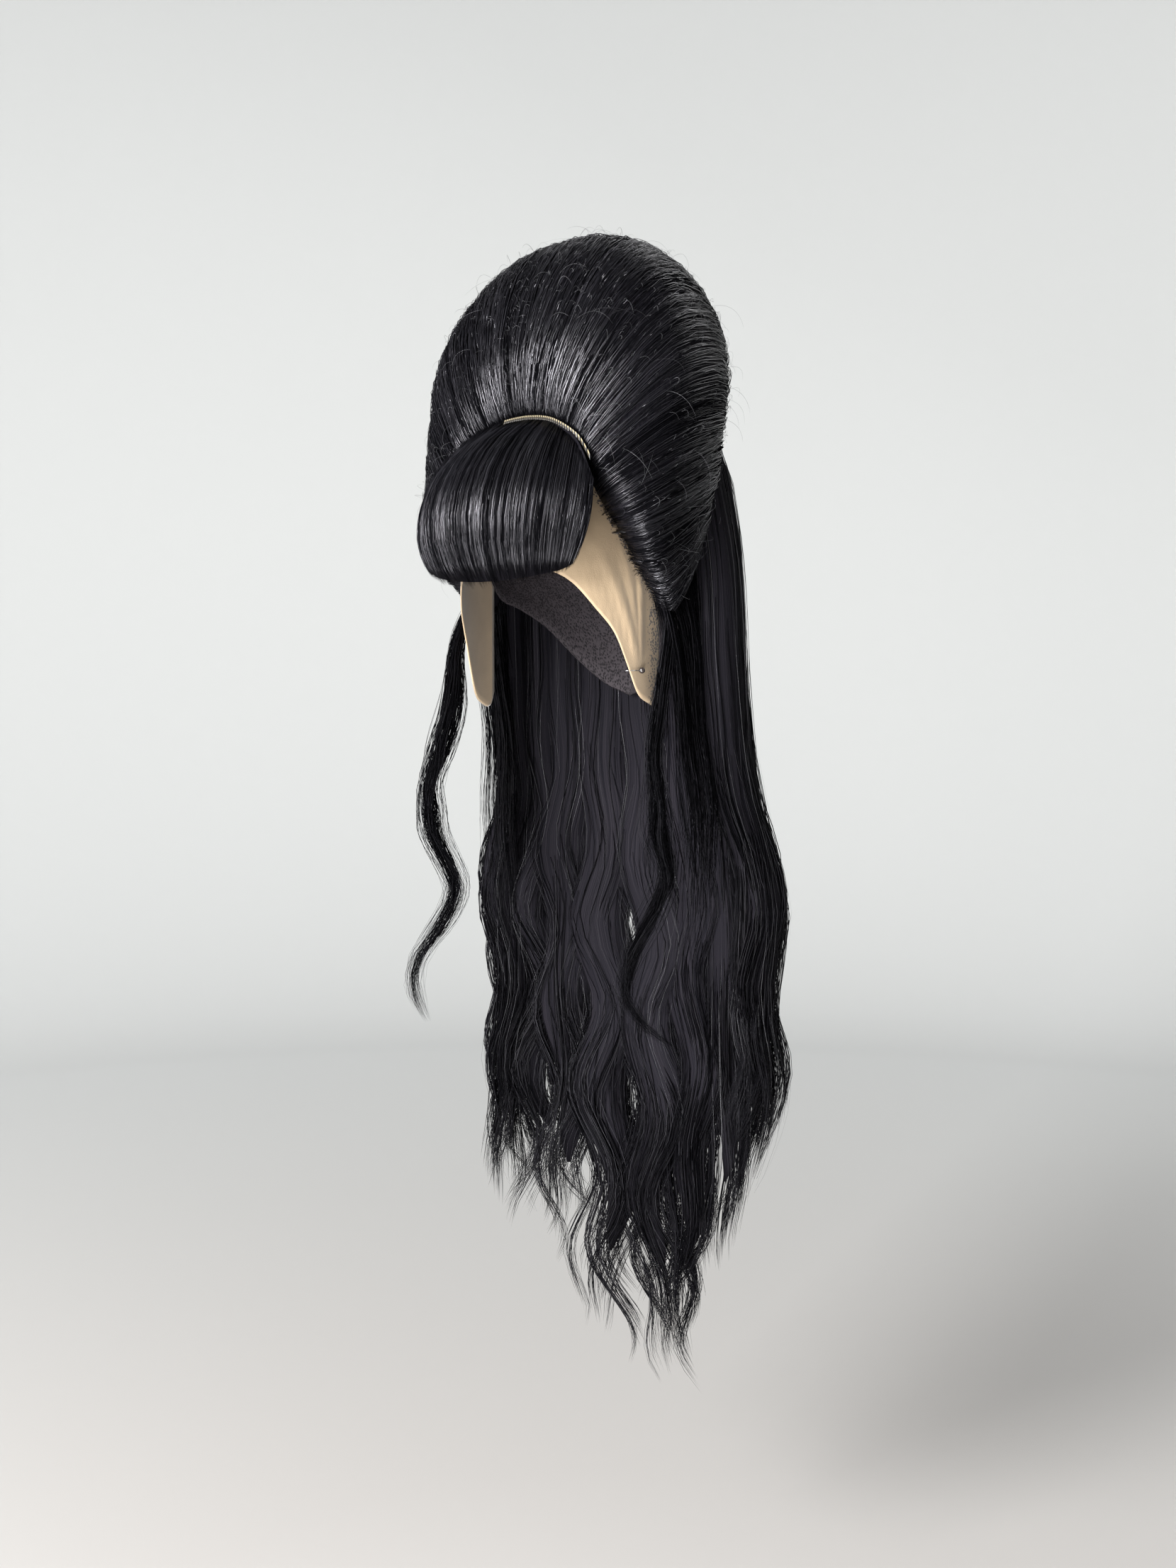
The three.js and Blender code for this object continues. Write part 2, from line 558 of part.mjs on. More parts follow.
// One lock of the fall. It keeps to the curtain's outline and swings from side to side on the way down.
function fallLock({ turn, length, wide, wave, phase, spread }) {
  const angle = turn * DEG;
  const across = new THREE.Vector3(Math.cos(angle), Math.sin(angle), 0);
  const out = new THREE.Vector3(Math.sin(angle), -Math.cos(angle), 0);
  const sections = steps(FALL_FORM[0].down, length, 13).map((down) => {
    const form = (column) => read(FALL_FORM, "down", down, column);
    const thin = clamp((down / length - TIP_SHARE) / (1 - TIP_SHARE));
    const slim = Math.max(0.05, Math.sqrt(1 - thin ** 2.2) * mix(1, 0.7, thin));
    const wavy = clamp((down - WAVE_FROM) / (WAVE_FULL - WAVE_FROM));
    const cycle = (down * FALL_LENGTH) / WAVE_LENGTH + phase;
    const swing = wavy * wave * WAVE_DEPTH * Math.sin(2 * Math.PI * cycle);
    const outward = clamp((down - SPREAD_FROM) / (SPREAD_FULL - SPREAD_FROM)) ** 2 * spread * LOCK_WIDTH;
    const centre = new THREE.Vector3(
      out.x * ((form("half") * CROWN_WIDTH) / 2 - LOCK_DEPTH / 2),
      form("middle") * CROWN_BACK + out.y * (form("back") * CROWN_BACK - LOCK_DEPTH / 2),
      -down * FALL_LENGTH,
    )
      .addScaledVector(across, swing)
      .addScaledVector(out, outward);
    return { centre, across, out, wide: wide * LOCK_WIDTH * slim, deep: LOCK_DEPTH * slim };
  });
  return lockSolid(sections.reverse(), 6);
}

const fallSolid = (locks) => wasm.Manifold.union(locks.map(fallLock));

function sideLock(rows) {
  const [root, tip] = [rows[0], rows[rows.length - 1]];
  const point = (form) => {
    const [x, y] = [form("x") * HEAD_WIDTH, form("y") * HEAD_LENGTH];
    return new THREE.Vector3(x / 2, y / 2, -form("down") * SIDE_LOCK_DROP);
  };
  const out = point((column) => (column === "down" ? 0 : root[column])).normalize();
  const across = new THREE.Vector3(-out.y, out.x, 0);
  const sections = steps(root.down, tip.down, 22).map((down) => {
    const form = (column) => (column === "down" ? down : read(rows, "down", down, column));
    const [wide, deep] = [form("wide") * SIDE_LOCK_WIDTH, form("deep") * SIDE_LOCK_DEPTH];
    return { centre: point(form), across, out, wide, deep };
  });
  return lockSolid(sections.reverse(), 6);
}

const MATERIALS = {
  hair: { color: 0x17131a, roughness: 0.55 },
  net: { color: 0x2a2528, roughness: 0.9 },
  lace: { color: 0xc9a98c, roughness: 0.85 },
  band: { color: 0xb08d5a, roughness: 0.7 },
  pin: { color: 0x1b1614, roughness: 0.25 },
};

const wig = new THREE.Group();
wig.name = "beehive_wig";

function addPiece(name, solid, material) {
  const { vertProperties, triVerts } = solid.getMesh();
  const geometry = new THREE.BufferGeometry();
  geometry.setAttribute("position", new THREE.BufferAttribute(vertProperties, 3));
  geometry.setIndex(new THREE.BufferAttribute(triVerts, 1));
  const flat = geometry.toNonIndexed();
  flat.computeVertexNormals();
  const mesh = new THREE.Mesh(flat, new THREE.MeshStandardMaterial(MATERIALS[material]));
  mesh.name = name;
  wig.add(mesh);
}

const crown = crownSolid();
const crownRoom = withGap(crown);
const sweepLeft = mainBody(sweepSolid(1).subtract(crownRoom));
const sweepRight = mainBody(sweepSolid(-1).subtract(crownRoom));
const taken = wasm.Manifold.union([crownRoom, withGap(sweepLeft), withGap(sweepRight), seatSolid()]);
const hang = (solid, ...others) => {
  const rooms = others.map(withGap);
  return mainBody(wasm.Manifold.difference([solid, taken, ...rooms]));
};
const back = hang(fallSolid(LOCKS_BACK));
const pin = pinSolid();
const fringe = fringeSolid();

addPiece("wig_cap", capSolid(), "net");
addPiece("lace_front", mainBody(laceSolid().subtract(withGap(pin))), "lace");
addPiece("parting_band", mainBody(bandSolid().subtract(withGap(fringe))), "band");
addPiece("beehive", crown, "hair");
addPiece("sweep_left", sweepLeft, "hair");
addPiece("sweep_right", sweepRight, "hair");
addPiece("fringe", fringe, "hair");
addPiece("side_lock_left", hang(sideLock(SIDE_LOCK_LEFT), pin), "hair");
addPiece("side_lock_right", hang(sideLock(SIDE_LOCK_RIGHT)), "hair");
addPiece("fall_back", back, "hair");
addPiece("fall_left", hang(fallSolid(LOCKS_LEFT), back), "hair");
addPiece("fall_right", hang(fallSolid(LOCKS_RIGHT), back), "hair");
addPiece("ball_pin", pin, "pin");

export default wig;
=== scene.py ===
# A long beehive wig of black hair: net cap, pleated lace front, teased crown, swept temples, rounded
# fringe, two waved side locks and a long waved fall. Units are metres, in the frame of the part.
import math

import bmesh
import bpy
import numpy as np
from mathutils import Matrix, Vector


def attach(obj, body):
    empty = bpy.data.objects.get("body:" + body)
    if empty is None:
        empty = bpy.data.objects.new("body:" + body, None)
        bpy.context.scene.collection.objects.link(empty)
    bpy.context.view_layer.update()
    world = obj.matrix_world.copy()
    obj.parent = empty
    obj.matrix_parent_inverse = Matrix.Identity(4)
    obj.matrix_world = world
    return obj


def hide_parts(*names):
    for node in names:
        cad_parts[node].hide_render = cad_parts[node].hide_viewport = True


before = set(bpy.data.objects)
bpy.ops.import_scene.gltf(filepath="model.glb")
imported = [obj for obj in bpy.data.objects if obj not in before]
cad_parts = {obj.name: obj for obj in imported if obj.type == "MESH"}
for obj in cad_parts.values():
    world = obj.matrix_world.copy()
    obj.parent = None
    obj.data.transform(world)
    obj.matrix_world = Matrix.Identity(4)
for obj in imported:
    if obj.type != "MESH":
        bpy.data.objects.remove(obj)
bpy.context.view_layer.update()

scene = bpy.context.scene


# Camera: level with the chin and a little to the wearer's left, as the wig was photographed. The lens and
# the distance come from the round base that the wig was shown on.
VIEW_TURN = math.radians(33)
VIEW_DIP = math.radians(2.2)
VIEW_AWAY = 1.37
VIEW_LEVEL = -0.217
VIEW_ASIDE = 0.0134
LENS = 39.06

across_view = Vector((math.cos(VIEW_TURN), math.sin(VIEW_TURN), 0))
into_view = Vector((-math.sin(VIEW_TURN), math.cos(VIEW_TURN), 0))
camera = bpy.data.objects.new("camera", bpy.data.cameras.new("camera"))
camera.data.lens = LENS
camera.data.sensor_width = 36
camera.location = -into_view * VIEW_AWAY + across_view * VIEW_ASIDE + Vector((0, 0, VIEW_LEVEL))
camera.rotation_euler = (math.pi / 2 - VIEW_DIP, 0, VIEW_TURN)
scene.collection.objects.link(camera)
scene.camera = camera


# Net cap: dark stretch net over the whole head, with rows of sewn weft that carry the hair. Every layer of
# the wig is laid out on rays from a point inside the head, by turn from the front and tilt from straight up.
HEAD_WIDTH = 0.158
HEAD_LENGTH = 0.202
HEAD_RISE = 0.12
HEAD_POWER = 2.4
NAPE_TUCK = 0.016
NAPE_DROP = 0.09
CAP_WALL = 0.0012
FIT_GAP = 0.0004
EYE = np.array([0, HEAD_LENGTH * 0.1, -HEAD_RISE / 2])
# turn, tilt
CAP_EDGE = [
    (0, 30), (20, 38), (40, 62), (60, 98), (82, 124), (100, 130), (120, 136), (140, 144), (160, 150),
    (180, 153),
]
WEFT_ROWS = 13
WEFT_RISE = 0.0007
WEFT_PRINT = 0.3


def along(table, at, column=1):
    """One column of a table at the given keys, on a smooth curve through its rows."""
    rows = np.array(table, float)
    keys = rows[:, 0]
    values = rows[:, column]
    at = np.clip(at, keys[0], keys[-1])
    low = np.clip(np.searchsorted(keys, at, side="right") - 1, 0, len(keys) - 2)
    before = np.clip(np.arange(len(keys)) - 1, 0, None)
    after = np.clip(np.arange(len(keys)) + 1, None, len(keys) - 1)
    slope = (values[after] - values[before]) / (keys[after] - keys[before])
    step = keys[low + 1] - keys[low]
    t = (at - keys[low]) / step
    u = 1 - t
    return (
        values[low] * u * u * (1 + 2 * t)
        + values[low + 1] * t * t * (1 + 2 * u)
        + slope[low] * step * t * u * u
        - slope[low + 1] * step * t * t * u
    )


def ray(turn, tilt):
    a = np.radians(turn)
    b = np.radians(tilt)
    return np.stack([np.sin(b) * np.sin(a), -np.sin(b) * np.cos(a), np.cos(b) + 0 * a], -1)


def on_ray(turn, tilt, distance):
    return EYE + ray(turn, tilt) * np.asarray(distance)[..., None]


HALVINGS = 26


def reach(turn, tilt, inside):
    """Distance from the eye to the skin of a form, found by halving."""
    near = np.zeros(np.broadcast(turn, tilt).shape)
    far = near + 1
    for _ in range(HALVINGS):
        middle = (near + far) / 2
        within = inside(on_ray(turn, tilt, middle))
        near = np.where(within, middle, near)
        far = np.where(within, far, middle)
    return near


def head_reach(turn, tilt, offset):
    def inside(p):
        below = np.clip((-HEAD_RISE - p[..., 2]) / NAPE_DROP, 0, 1)
        tuck = np.where(p[..., 1] > 0, NAPE_TUCK * below**2, 0)
        up = np.clip(p[..., 2] + HEAD_RISE, 0, None) / (HEAD_RISE + offset)
        aside = p[..., 0] / (HEAD_WIDTH / 2 + offset)
        ahead = p[..., 1] / (HEAD_LENGTH / 2 + offset - tuck)
        return np.hypot(aside, ahead) ** HEAD_POWER + up**HEAD_POWER < 1

    return reach(turn, tilt, inside)


def shell(name, outer, inner, closed):
    """Closed skin between two grids of points, with a map of column and row for its material."""
    rows, columns = outer.shape[:2]
    points = np.concatenate([outer.reshape(-1, 3), inner.reshape(-1, 3)])
    index = np.arange(rows * columns).reshape(rows, columns)
    back = index + rows * columns
    if closed:
        index = np.concatenate([index, index[:, :1]], 1)
        back = np.concatenate([back, back[:, :1]], 1)

    def quads(a, b, c, d):
        return np.stack([a, b, c, d], -1).reshape(-1, 4)

    faces = [
        quads(index[:-1, :-1], index[1:, :-1], index[1:, 1:], index[:-1, 1:]),
        quads(back[:-1, :-1], back[:-1, 1:], back[1:, 1:], back[1:, :-1]),
        quads(index[-1, 1:], index[-1, :-1], back[-1, :-1], back[-1, 1:]),
        quads(index[0, :-1], index[0, 1:], back[0, 1:], back[0, :-1]),
    ]
    if not closed:
        faces.append(quads(index[1:, 0], index[:-1, 0], back[:-1, 0], back[1:, 0]))
        faces.append(quads(index[:-1, -1], index[1:, -1], back[1:, -1], back[:-1, -1]))
    mesh = bpy.data.meshes.new(name)
    mesh.from_pydata(points.tolist(), [], np.concatenate(faces).tolist())
    place = mesh.attributes.new("place", "FLOAT_VECTOR", "POINT")
    row, column = np.mgrid[0:1:rows * 1j, 0:1:columns * 1j]
    flat = np.stack([column, row, 0 * row], -1).reshape(-1, 3)
    place.data.foreach_set("vector", np.concatenate([flat, flat + [0, 0, 1]]).ravel())
    body = bmesh.new()
    body.from_mesh(mesh)
    bmesh.ops.remove_doubles(body, verts=body.verts, dist=1e-6)
    bmesh.ops.recalc_face_normals(body, faces=body.faces)
    for face in body.faces:
        face.smooth = True
    body.to_mesh(mesh)
    body.free()
    piece = bpy.data.objects.new(name, mesh)
    scene.collection.objects.link(piece)
    return piece


def wear(piece, finish, slot, *nodes):
    piece.data.materials.append(finish)
    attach(piece, "root")
    if nodes:
        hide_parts(*nodes)


def new_finish(name, roughness):
    finish = bpy.data.materials.new(name)
    finish.use_nodes = True
    shader = finish.node_tree.nodes["Principled BSDF"]
    shader.inputs["Roughness"].default_value = roughness
    return finish, shader


def node(finish, kind, **inputs):
    made = finish.node_tree.nodes.new(kind)
    for key, value in inputs.items():
        made.inputs[key.replace("_", " ")].default_value = value
    return made


def ramp(finish, source, low, high, low_colour, high_colour):
    """Colour that runs from one shade to another over part of a texture's range."""
    blend = node(finish, "ShaderNodeValToRGB")
    blend.color_ramp.elements[0].position = low
    blend.color_ramp.elements[1].position = high
    blend.color_ramp.elements[0].color = (*low_colour, 1)
    blend.color_ramp.elements[1].color = (*high_colour, 1)
    finish.node_tree.links.new(source, blend.inputs["Fac"])
    return blend.outputs["Color"]


def add_bump(finish, shader, source, strength, depth):
    bump = node(finish, "ShaderNodeBump", Strength=strength, Distance=depth)
    finish.node_tree.links.new(source, bump.inputs["Height"])
    finish.node_tree.links.new(bump.outputs["Normal"], shader.inputs["Normal"])


def place_map(finish, *scale):
    """The piece's own columns and rows, stretched, as a texture's coordinates."""
    source = node(finish, "ShaderNodeAttribute")
    source.attribute_name = "place"
    stretch = node(finish, "ShaderNodeMapping", Scale=scale)
    finish.node_tree.links.new(source.outputs["Vector"], stretch.inputs["Vector"])
    return stretch.outputs["Vector"]


def net_finish():
    finish, shader = new_finish("stretch net", 0.85)
    shader.inputs["Specular IOR Level"].default_value = 0.08
    links = finish.node_tree.links
    weave = node(finish, "ShaderNodeTexVoronoi", Scale=1.0)
    links.new(place_map(finish, 320, 220, 1), weave.inputs["Vector"])
    colour = ramp(finish, weave.outputs["Distance"], 0.25, 0.6, (0.004, 0.0035, 0.004), (0.02, 0.017, 0.019))
    links.new(colour, shader.inputs["Base Color"])
    add_bump(finish, shader, weave.outputs["Distance"], 0.6, 0.0004)
    return finish


def cap_layer(offset, ribbed):
    turn, share = np.meshgrid(np.linspace(-180, 180, 73)[:-1], np.linspace(0, 1, 53))
    tilt = share * along(CAP_EDGE, abs(turn))
    weft = WEFT_RISE * np.clip(np.sin(share * WEFT_ROWS * 2 * np.pi) * 3 - 1.6, 0, 1)
    return on_ray(turn, tilt, head_reach(turn, tilt, offset) + ribbed * weft)


cap = shell("wig_cap_net", cap_layer(CAP_WALL, -WEFT_PRINT), cap_layer(0, 1), True)
wear(cap, net_finish(), "net", "wig_cap")


# Lace front: sheer beige lace, one sheet from under the parting to its free edge, with the hairline knotted
# into it. On the wearer's left the slack is drawn in pleats to a pin.
LACE_WALL = 0.001
LACE_END = 78
FIT_TURN = 0.25
# turn, tilt
LACE_EDGE = [
    (0, 107), (14, 110), (26, 115), (38, 126), (46, 133), (53, 141), (59, 146.5), (66, 149), (75, 150.5),
    (78, 149),
]
# turn, tilt, how steeply the hair rises
HAIR_EDGE = [
    (0, 47.6, 0.75), (12, 49.4, 0.76), (20, 53.6, 0.78), (30, 63, 0.88), (34, 71, 0.92), (38, 82, 0.58),
    (42, 90, 0.13), (48, 99, 0.11), (56, 111, 0.11), (68, 123, 0.13), (77, 131, 0.18), (85, 128, 0.29),
    (93, 117, 0.42), (100, 102, 0.58), (106, 85, 0.68), (112, 69, 0.84), (124, 63, 0.95), (150, 63, 1),
    (180, 64, 1),
]
# lean, width, rise
PLEATS = [(-31, 3.2, 1), (-15, 2.8, 0.75), (1, 2.6, 1)]
PLEAT_RISE = 0.0028
PLEAT_REACH = 44
CRINKLE = 0.05
KNOTS_AT_LINE = 0.55
KNOTS_FADE = 3.5
KNOTS_IN_TAB = 0.42
TAB_TURN = 64
TAB_TILT = 128
PIN_TURN = 61.5
PIN_TILT = 143.8


def pleat_rise(turn, tilt):
    above = PIN_TILT - tilt
    below_hair = np.clip((tilt - along(HAIR_EDGE, abs(turn))) / 5, 0, 1)
    fade = np.clip(above / 6, 0, 1) * np.clip(1 - above / PLEAT_REACH, 0, 1) * below_hair
    ridges = [
        rise * np.exp(-(((turn - PIN_TURN - above * math.tan(math.radians(lean))) / wide) ** 2))
        for lean, wide, rise in PLEATS
    ]
    crinkle = CRINKLE * np.sin(turn * 1.9 + above * 0.35) * np.sin(above * 0.5 + turn * 0.3)
    return PLEAT_RISE * fade * (np.max(ridges, 0) + crinkle)


def lace_layer(offset):
    turns = np.concatenate([np.linspace(-LACE_END, 28, 40), np.linspace(28.6, LACE_END, 80)])
    turn, share = np.meshgrid(turns, np.linspace(0, 1, 50))
    top = along(CAP_EDGE, abs(turn)) + 2 * FIT_TURN
    tilt = top + share * (along(LACE_EDGE, abs(turn)) - top)
    return on_ray(turn, tilt, head_reach(turn, tilt, offset) + pleat_rise(turn, tilt)), turn, tilt


def lace_finish():
    finish, shader = new_finish("beige lace", 0.7)
    links = finish.node_tree.links
    where = node(finish, "ShaderNodeAttribute")
    where.attribute_name = "knots"
    where_metres = node(finish, "ShaderNodeTexCoord").outputs["Object"]
    net = node(finish, "ShaderNodeTexVoronoi", Scale=1100.0)
    dots = node(finish, "ShaderNodeTexVoronoi", Scale=480.0)
    cloud = node(finish, "ShaderNodeTexNoise", Scale=35.0, Detail=4.0)
    for texture in (net, dots, cloud):
        links.new(where_metres, texture.inputs["Vector"])
    cloth = ramp(finish, cloud.outputs["Fac"], 0.3, 0.7, (0.2, 0.141, 0.082), (0.255, 0.185, 0.111))
    knot = node(finish, "ShaderNodeMath")
    knot.operation = "LESS_THAN"
    links.new(dots.outputs["Distance"], knot.inputs[0])
    links.new(where.outputs["Fac"], knot.inputs[1])
    mix = node(finish, "ShaderNodeMix")
    mix.data_type = "RGBA"
    links.new(knot.outputs[0], mix.inputs["Factor"])
    links.new(cloth, mix.inputs["A"])
    mix.inputs["B"].default_value = (0.03, 0.022, 0.02, 1)
    links.new(mix.outputs["Result"], shader.inputs["Base Color"])
    shader.inputs["Alpha"].default_value = 0.93
    shader.inputs["Sheen Weight"].default_value = 0.25
    add_bump(finish, shader, net.outputs["Distance"], 0.35, 0.0003)
    return finish


lace_out, lace_turn, lace_tilt = lace_layer(LACE_WALL)
lace_in = lace_layer(0)[0]
lace = shell("lace_sheet", lace_out, lace_in, False)
below_line = lace_tilt - along(HAIR_EDGE, abs(lace_turn))
in_tab = np.clip((abs(lace_turn) - TAB_TURN) / 6, 0, 1) * np.clip((lace_tilt - TAB_TILT) / 4, 0, 1)
along_line = KNOTS_AT_LINE * np.exp(-np.clip(below_line, 0, None) / KNOTS_FADE)
knotted = np.clip(along_line + KNOTS_IN_TAB * in_tab, 0, 0.5)
knots = lace.data.attributes.new("knots", "FLOAT", "POINT")
knots.data.foreach_set("value", np.concatenate([knotted.ravel(), 0 * knotted.ravel()]))
wear(lace, lace_finish(), "lace", "lace_front")


# Ball-headed pin: a steel shaft under a glossy dark ball, run sideways through the pleats to gather them.
PIN_HEAD = 0.0048
PIN_SHAFT = 0.001
PIN_LENGTH = 0.015
PIN_RISE = 1.2
PIN_AIM = 11


def pin_point(turn, tilt, height):
    return Vector(on_ray(turn, tilt, head_reach(turn, tilt, LACE_WALL + height)))


ball_at = pin_point(PIN_TURN, PIN_TILT - PIN_RISE, FIT_GAP + PIN_HEAD / 2)
pin_aim = (pin_point(PIN_TURN - PIN_AIM, PIN_TILT - 2 * PIN_RISE, PIN_SHAFT) - ball_at).normalized()
body = bmesh.new()
bmesh.ops.create_uvsphere(body, u_segments=40, v_segments=24, radius=PIN_HEAD / 2)
shaft_set = Matrix.Translation((0, 0, PIN_LENGTH / 2 + PIN_HEAD * 0.3))
tip = bmesh.ops.create_cone(
    body, cap_ends=True, segments=20, radius1=PIN_SHAFT / 2, radius2=PIN_SHAFT / 6,
    depth=PIN_LENGTH - PIN_HEAD * 0.3, matrix=shaft_set,
)
shaft_faces = {face for vert in tip["verts"] for face in vert.link_faces}
for face in body.faces:
    face.smooth = True
    face.material_index = 1 if face in shaft_faces else 0
pin_mesh = bpy.data.meshes.new("ball_pin_whole")
body.to_mesh(pin_mesh)
body.free()
pin = bpy.data.objects.new("ball_pin_whole", pin_mesh)
scene.collection.objects.link(pin)
turned = pin_aim.to_track_quat("Z", "Y").to_matrix().to_4x4()
pin_mesh.transform(Matrix.Translation(ball_at) @ turned)

ball_finish, ball_shader = new_finish("dark glass ball", 0.12)
swirl = node(ball_finish, "ShaderNodeTexNoise", Scale=500.0, Detail=2.0)
ball_finish.node_tree.links.new(
    ramp(ball_finish, swirl.outputs["Fac"], 0.3, 0.7, (0.006, 0.005, 0.005), (0.02, 0.014, 0.012)),
    ball_shader.inputs["Base Color"],
)
steel_finish, steel_shader = new_finish("pin steel", 0.25)
steel_shader.inputs["Metallic"].default_value = 1
scratch = node(steel_finish, "ShaderNodeTexNoise", Scale=2500.0)
steel_finish.node_tree.links.new(
    ramp(steel_finish, scratch.outputs["Fac"], 0.3, 0.7, (0.5, 0.5, 0.5), (0.65, 0.65, 0.66)),
    steel_shader.inputs["Base Color"],
)
wear(pin, ball_finish, "pin", "ball_pin")
pin_mesh.materials.append(steel_finish)


# Crown: the beehive itself, a bed of teased hair with long strands combed over it from the parting, up,
# over the top and down to the tuck at the back. Fine stray hairs stand off it all round.
CROWN_RISE = 0.172
CROWN_WAIST = 0.04
CROWN_WIDTH = 0.24
CROWN_FRONT = 0.08
CROWN_BACK = 0.11
CROWN_SET = 0.003
CROWN_LEAN = 0.17
FRONT_POWER = 3
BACK_POWER = 2.2
SKIRT_DROP = 0.18
# share of the way down, width, depth
SKIRT = [(0, 1, 1), (0.2, 0.99, 1), (0.45, 0.96, 0.99), (0.7, 0.9, 0.96), (1, 0.78, 0.9)]
EDGE_LIFT = 0.038
EDGE_ROLL = 16
# turn, tilt
SEAM = [(34, 68), (60, 65), (90, 62), (110, 60), (120, 80)]
HAIR_SEAT = CAP_WALL + FIT_GAP
BED_LEAST = 0.0003


def crown_reach(turn, tilt):
    def inside(p):
        over = np.clip((p[..., 2] - CROWN_WAIST) / (CROWN_RISE - CROWN_WAIST), 0, 1)
        dome = np.sqrt(1 - over**2) + 1e-9
        drop = (CROWN_WAIST - p[..., 2]) / SKIRT_DROP
        axis = CROWN_SET + CROWN_LEAN * p[..., 2]
        front = p[..., 1] < axis
        half = CROWN_WIDTH / 2 * along(SKIRT, drop, 1) * dome
        deep = np.where(front, CROWN_FRONT, CROWN_BACK * along(SKIRT, drop, 2)) * dome
        power = np.where(front, FRONT_POWER, BACK_POWER)
        round_it = abs(p[..., 0] / half) ** power + abs((p[..., 1] - axis) / deep) ** power < 1
        return round_it & (over < 1)

    return reach(turn, tilt, inside)


def hair_reach(turn, tilt):
    edge = along(HAIR_EDGE, abs(turn))
    root = head_reach(turn, edge, 0) + EDGE_LIFT * along(HAIR_EDGE, abs(turn), 2)
    swell = np.sqrt(1 - (1 - np.clip((edge - tilt) / EDGE_ROLL, 0, 1)) ** 2)
    return root + (np.maximum(root, crown_reach(turn, tilt)) - root) * swell


def comb(name, paths, out, half_width, tone):
    """Strands as closed three-sided rods that thin out to a point, joined in one mesh."""
    count, steps = paths.shape[:2]
    rings = steps - 1
    aim = np.gradient(paths, axis=1)
    aim /= np.linalg.norm(aim, axis=-1, keepdims=True) + 1e-12
    side = np.cross(aim, out)
    side /= np.linalg.norm(side, axis=-1, keepdims=True) + 1e-12
    top = np.cross(side, aim)
    angle = np.radians([90, 210, 330])
    s = np.linspace(0, 1, steps)[:rings]
    swelling = 0.55 + 0.45 * np.minimum(1, s / 0.15)
    thinning = 1 - 0.75 * s**3
    wide = (half_width[:, None] * swelling * thinning)[..., None, None]
    corners = paths[:, :rings, None] + wide * (
        side[:, :rings, None] * np.cos(angle)[:, None] + 0.7 * top[:, :rings, None] * np.sin(angle)[:, None]
    )
    points = np.concatenate([corners.reshape(count, -1, 3), paths[:, -1:]], 1)
    faces = [(0, 2, 1)]
    for ring in range(rings - 1):
        for a in range(3):
            b = (a + 1) % 3
            low, high = 3 * ring, 3 * ring + 3
            faces.append((low + a, low + b, high + b))
            faces.append((low + a, high + b, high + a))
    last = 3 * (rings - 1)
    faces += [(last + a, last + (a + 1) % 3, 3 * rings) for a in range(3)]
    per = points.shape[1]
    all_faces = (np.array(faces)[None] + per * np.arange(count)[:, None, None]).reshape(-1, 3)
    mesh = bpy.data.meshes.new(name)
    mesh.vertices.add(count * per)
    mesh.vertices.foreach_set("co", points.astype(np.float32).ravel())
    mesh.loops.add(all_faces.size)
    mesh.loops.foreach_set("vertex_index", all_faces.astype(np.int32).ravel())
    mesh.polygons.add(len(all_faces))
    mesh.polygons.foreach_set("loop_start", np.arange(0, all_faces.size, 3, dtype=np.int32))
    mesh.polygons.foreach_set("use_smooth", np.ones(len(all_faces), bool))
    shade = mesh.attributes.new("tone", "FLOAT", "POINT")
    shade.data.foreach_set("value", np.repeat(tone, per).astype(np.float32))
    mesh.update(calc_edges=True)
    piece = bpy.data.objects.new(name, mesh)
    scene.collection.objects.link(piece)
    return piece


DULL_TONE = 0.2


def hair_finish(name, dark, light, roughness, dull, glossy):
    """Black hair whose strands differ a little in shade and a good deal in gloss."""
    finish, shader = new_finish(name, roughness)
    tone = node(finish, "ShaderNodeAttribute")
    tone.attribute_name = "tone"
    colour = ramp(finish, tone.outputs["Fac"], 0, 1, dark, light)
    finish.node_tree.links.new(colour, shader.inputs["Base Color"])
    gloss = node(finish, "ShaderNodeMapRange", From_Min=DULL_TONE, To_Min=dull, To_Max=glossy)
    finish.node_tree.links.new(tone.outputs["Fac"], gloss.inputs["Value"])
    shader.inputs["Specular IOR Level"].default_value = (dull + glossy) / 2
    finish.node_tree.links.new(gloss.outputs["Result"], shader.inputs["Specular IOR Level"])
    shader.inputs["Specular Tint"].default_value = (0.95, 0.93, 1, 1)
    return finish


def bed_finish():
    finish, shader = new_finish("teased hair bed", 0.7)
    shader.inputs["Specular IOR Level"].default_value = 0.02
    links = finish.node_tree.links
    streak = node(finish, "ShaderNodeTexNoise", Scale=1.0, Detail=4.0, Roughness=0.6)
    links.new(place_map(finish, 260, 4, 1), streak.inputs["Vector"])
    colour = ramp(finish, streak.outputs["Fac"], 0.35, 0.7, (0.002, 0.002, 0.003), (0.009, 0.008, 0.01))
    links.new(colour, shader.inputs["Base Color"])
    add_bump(finish, shader, streak.outputs["Fac"], 0.5, 0.001)
    return finish


strand_black = hair_finish(
    "black strands", (0.0012, 0.0012, 0.0015), (0.008, 0.0076, 0.0095), 0.27, dull=0, glossy=1,
)
bed_black = bed_finish()

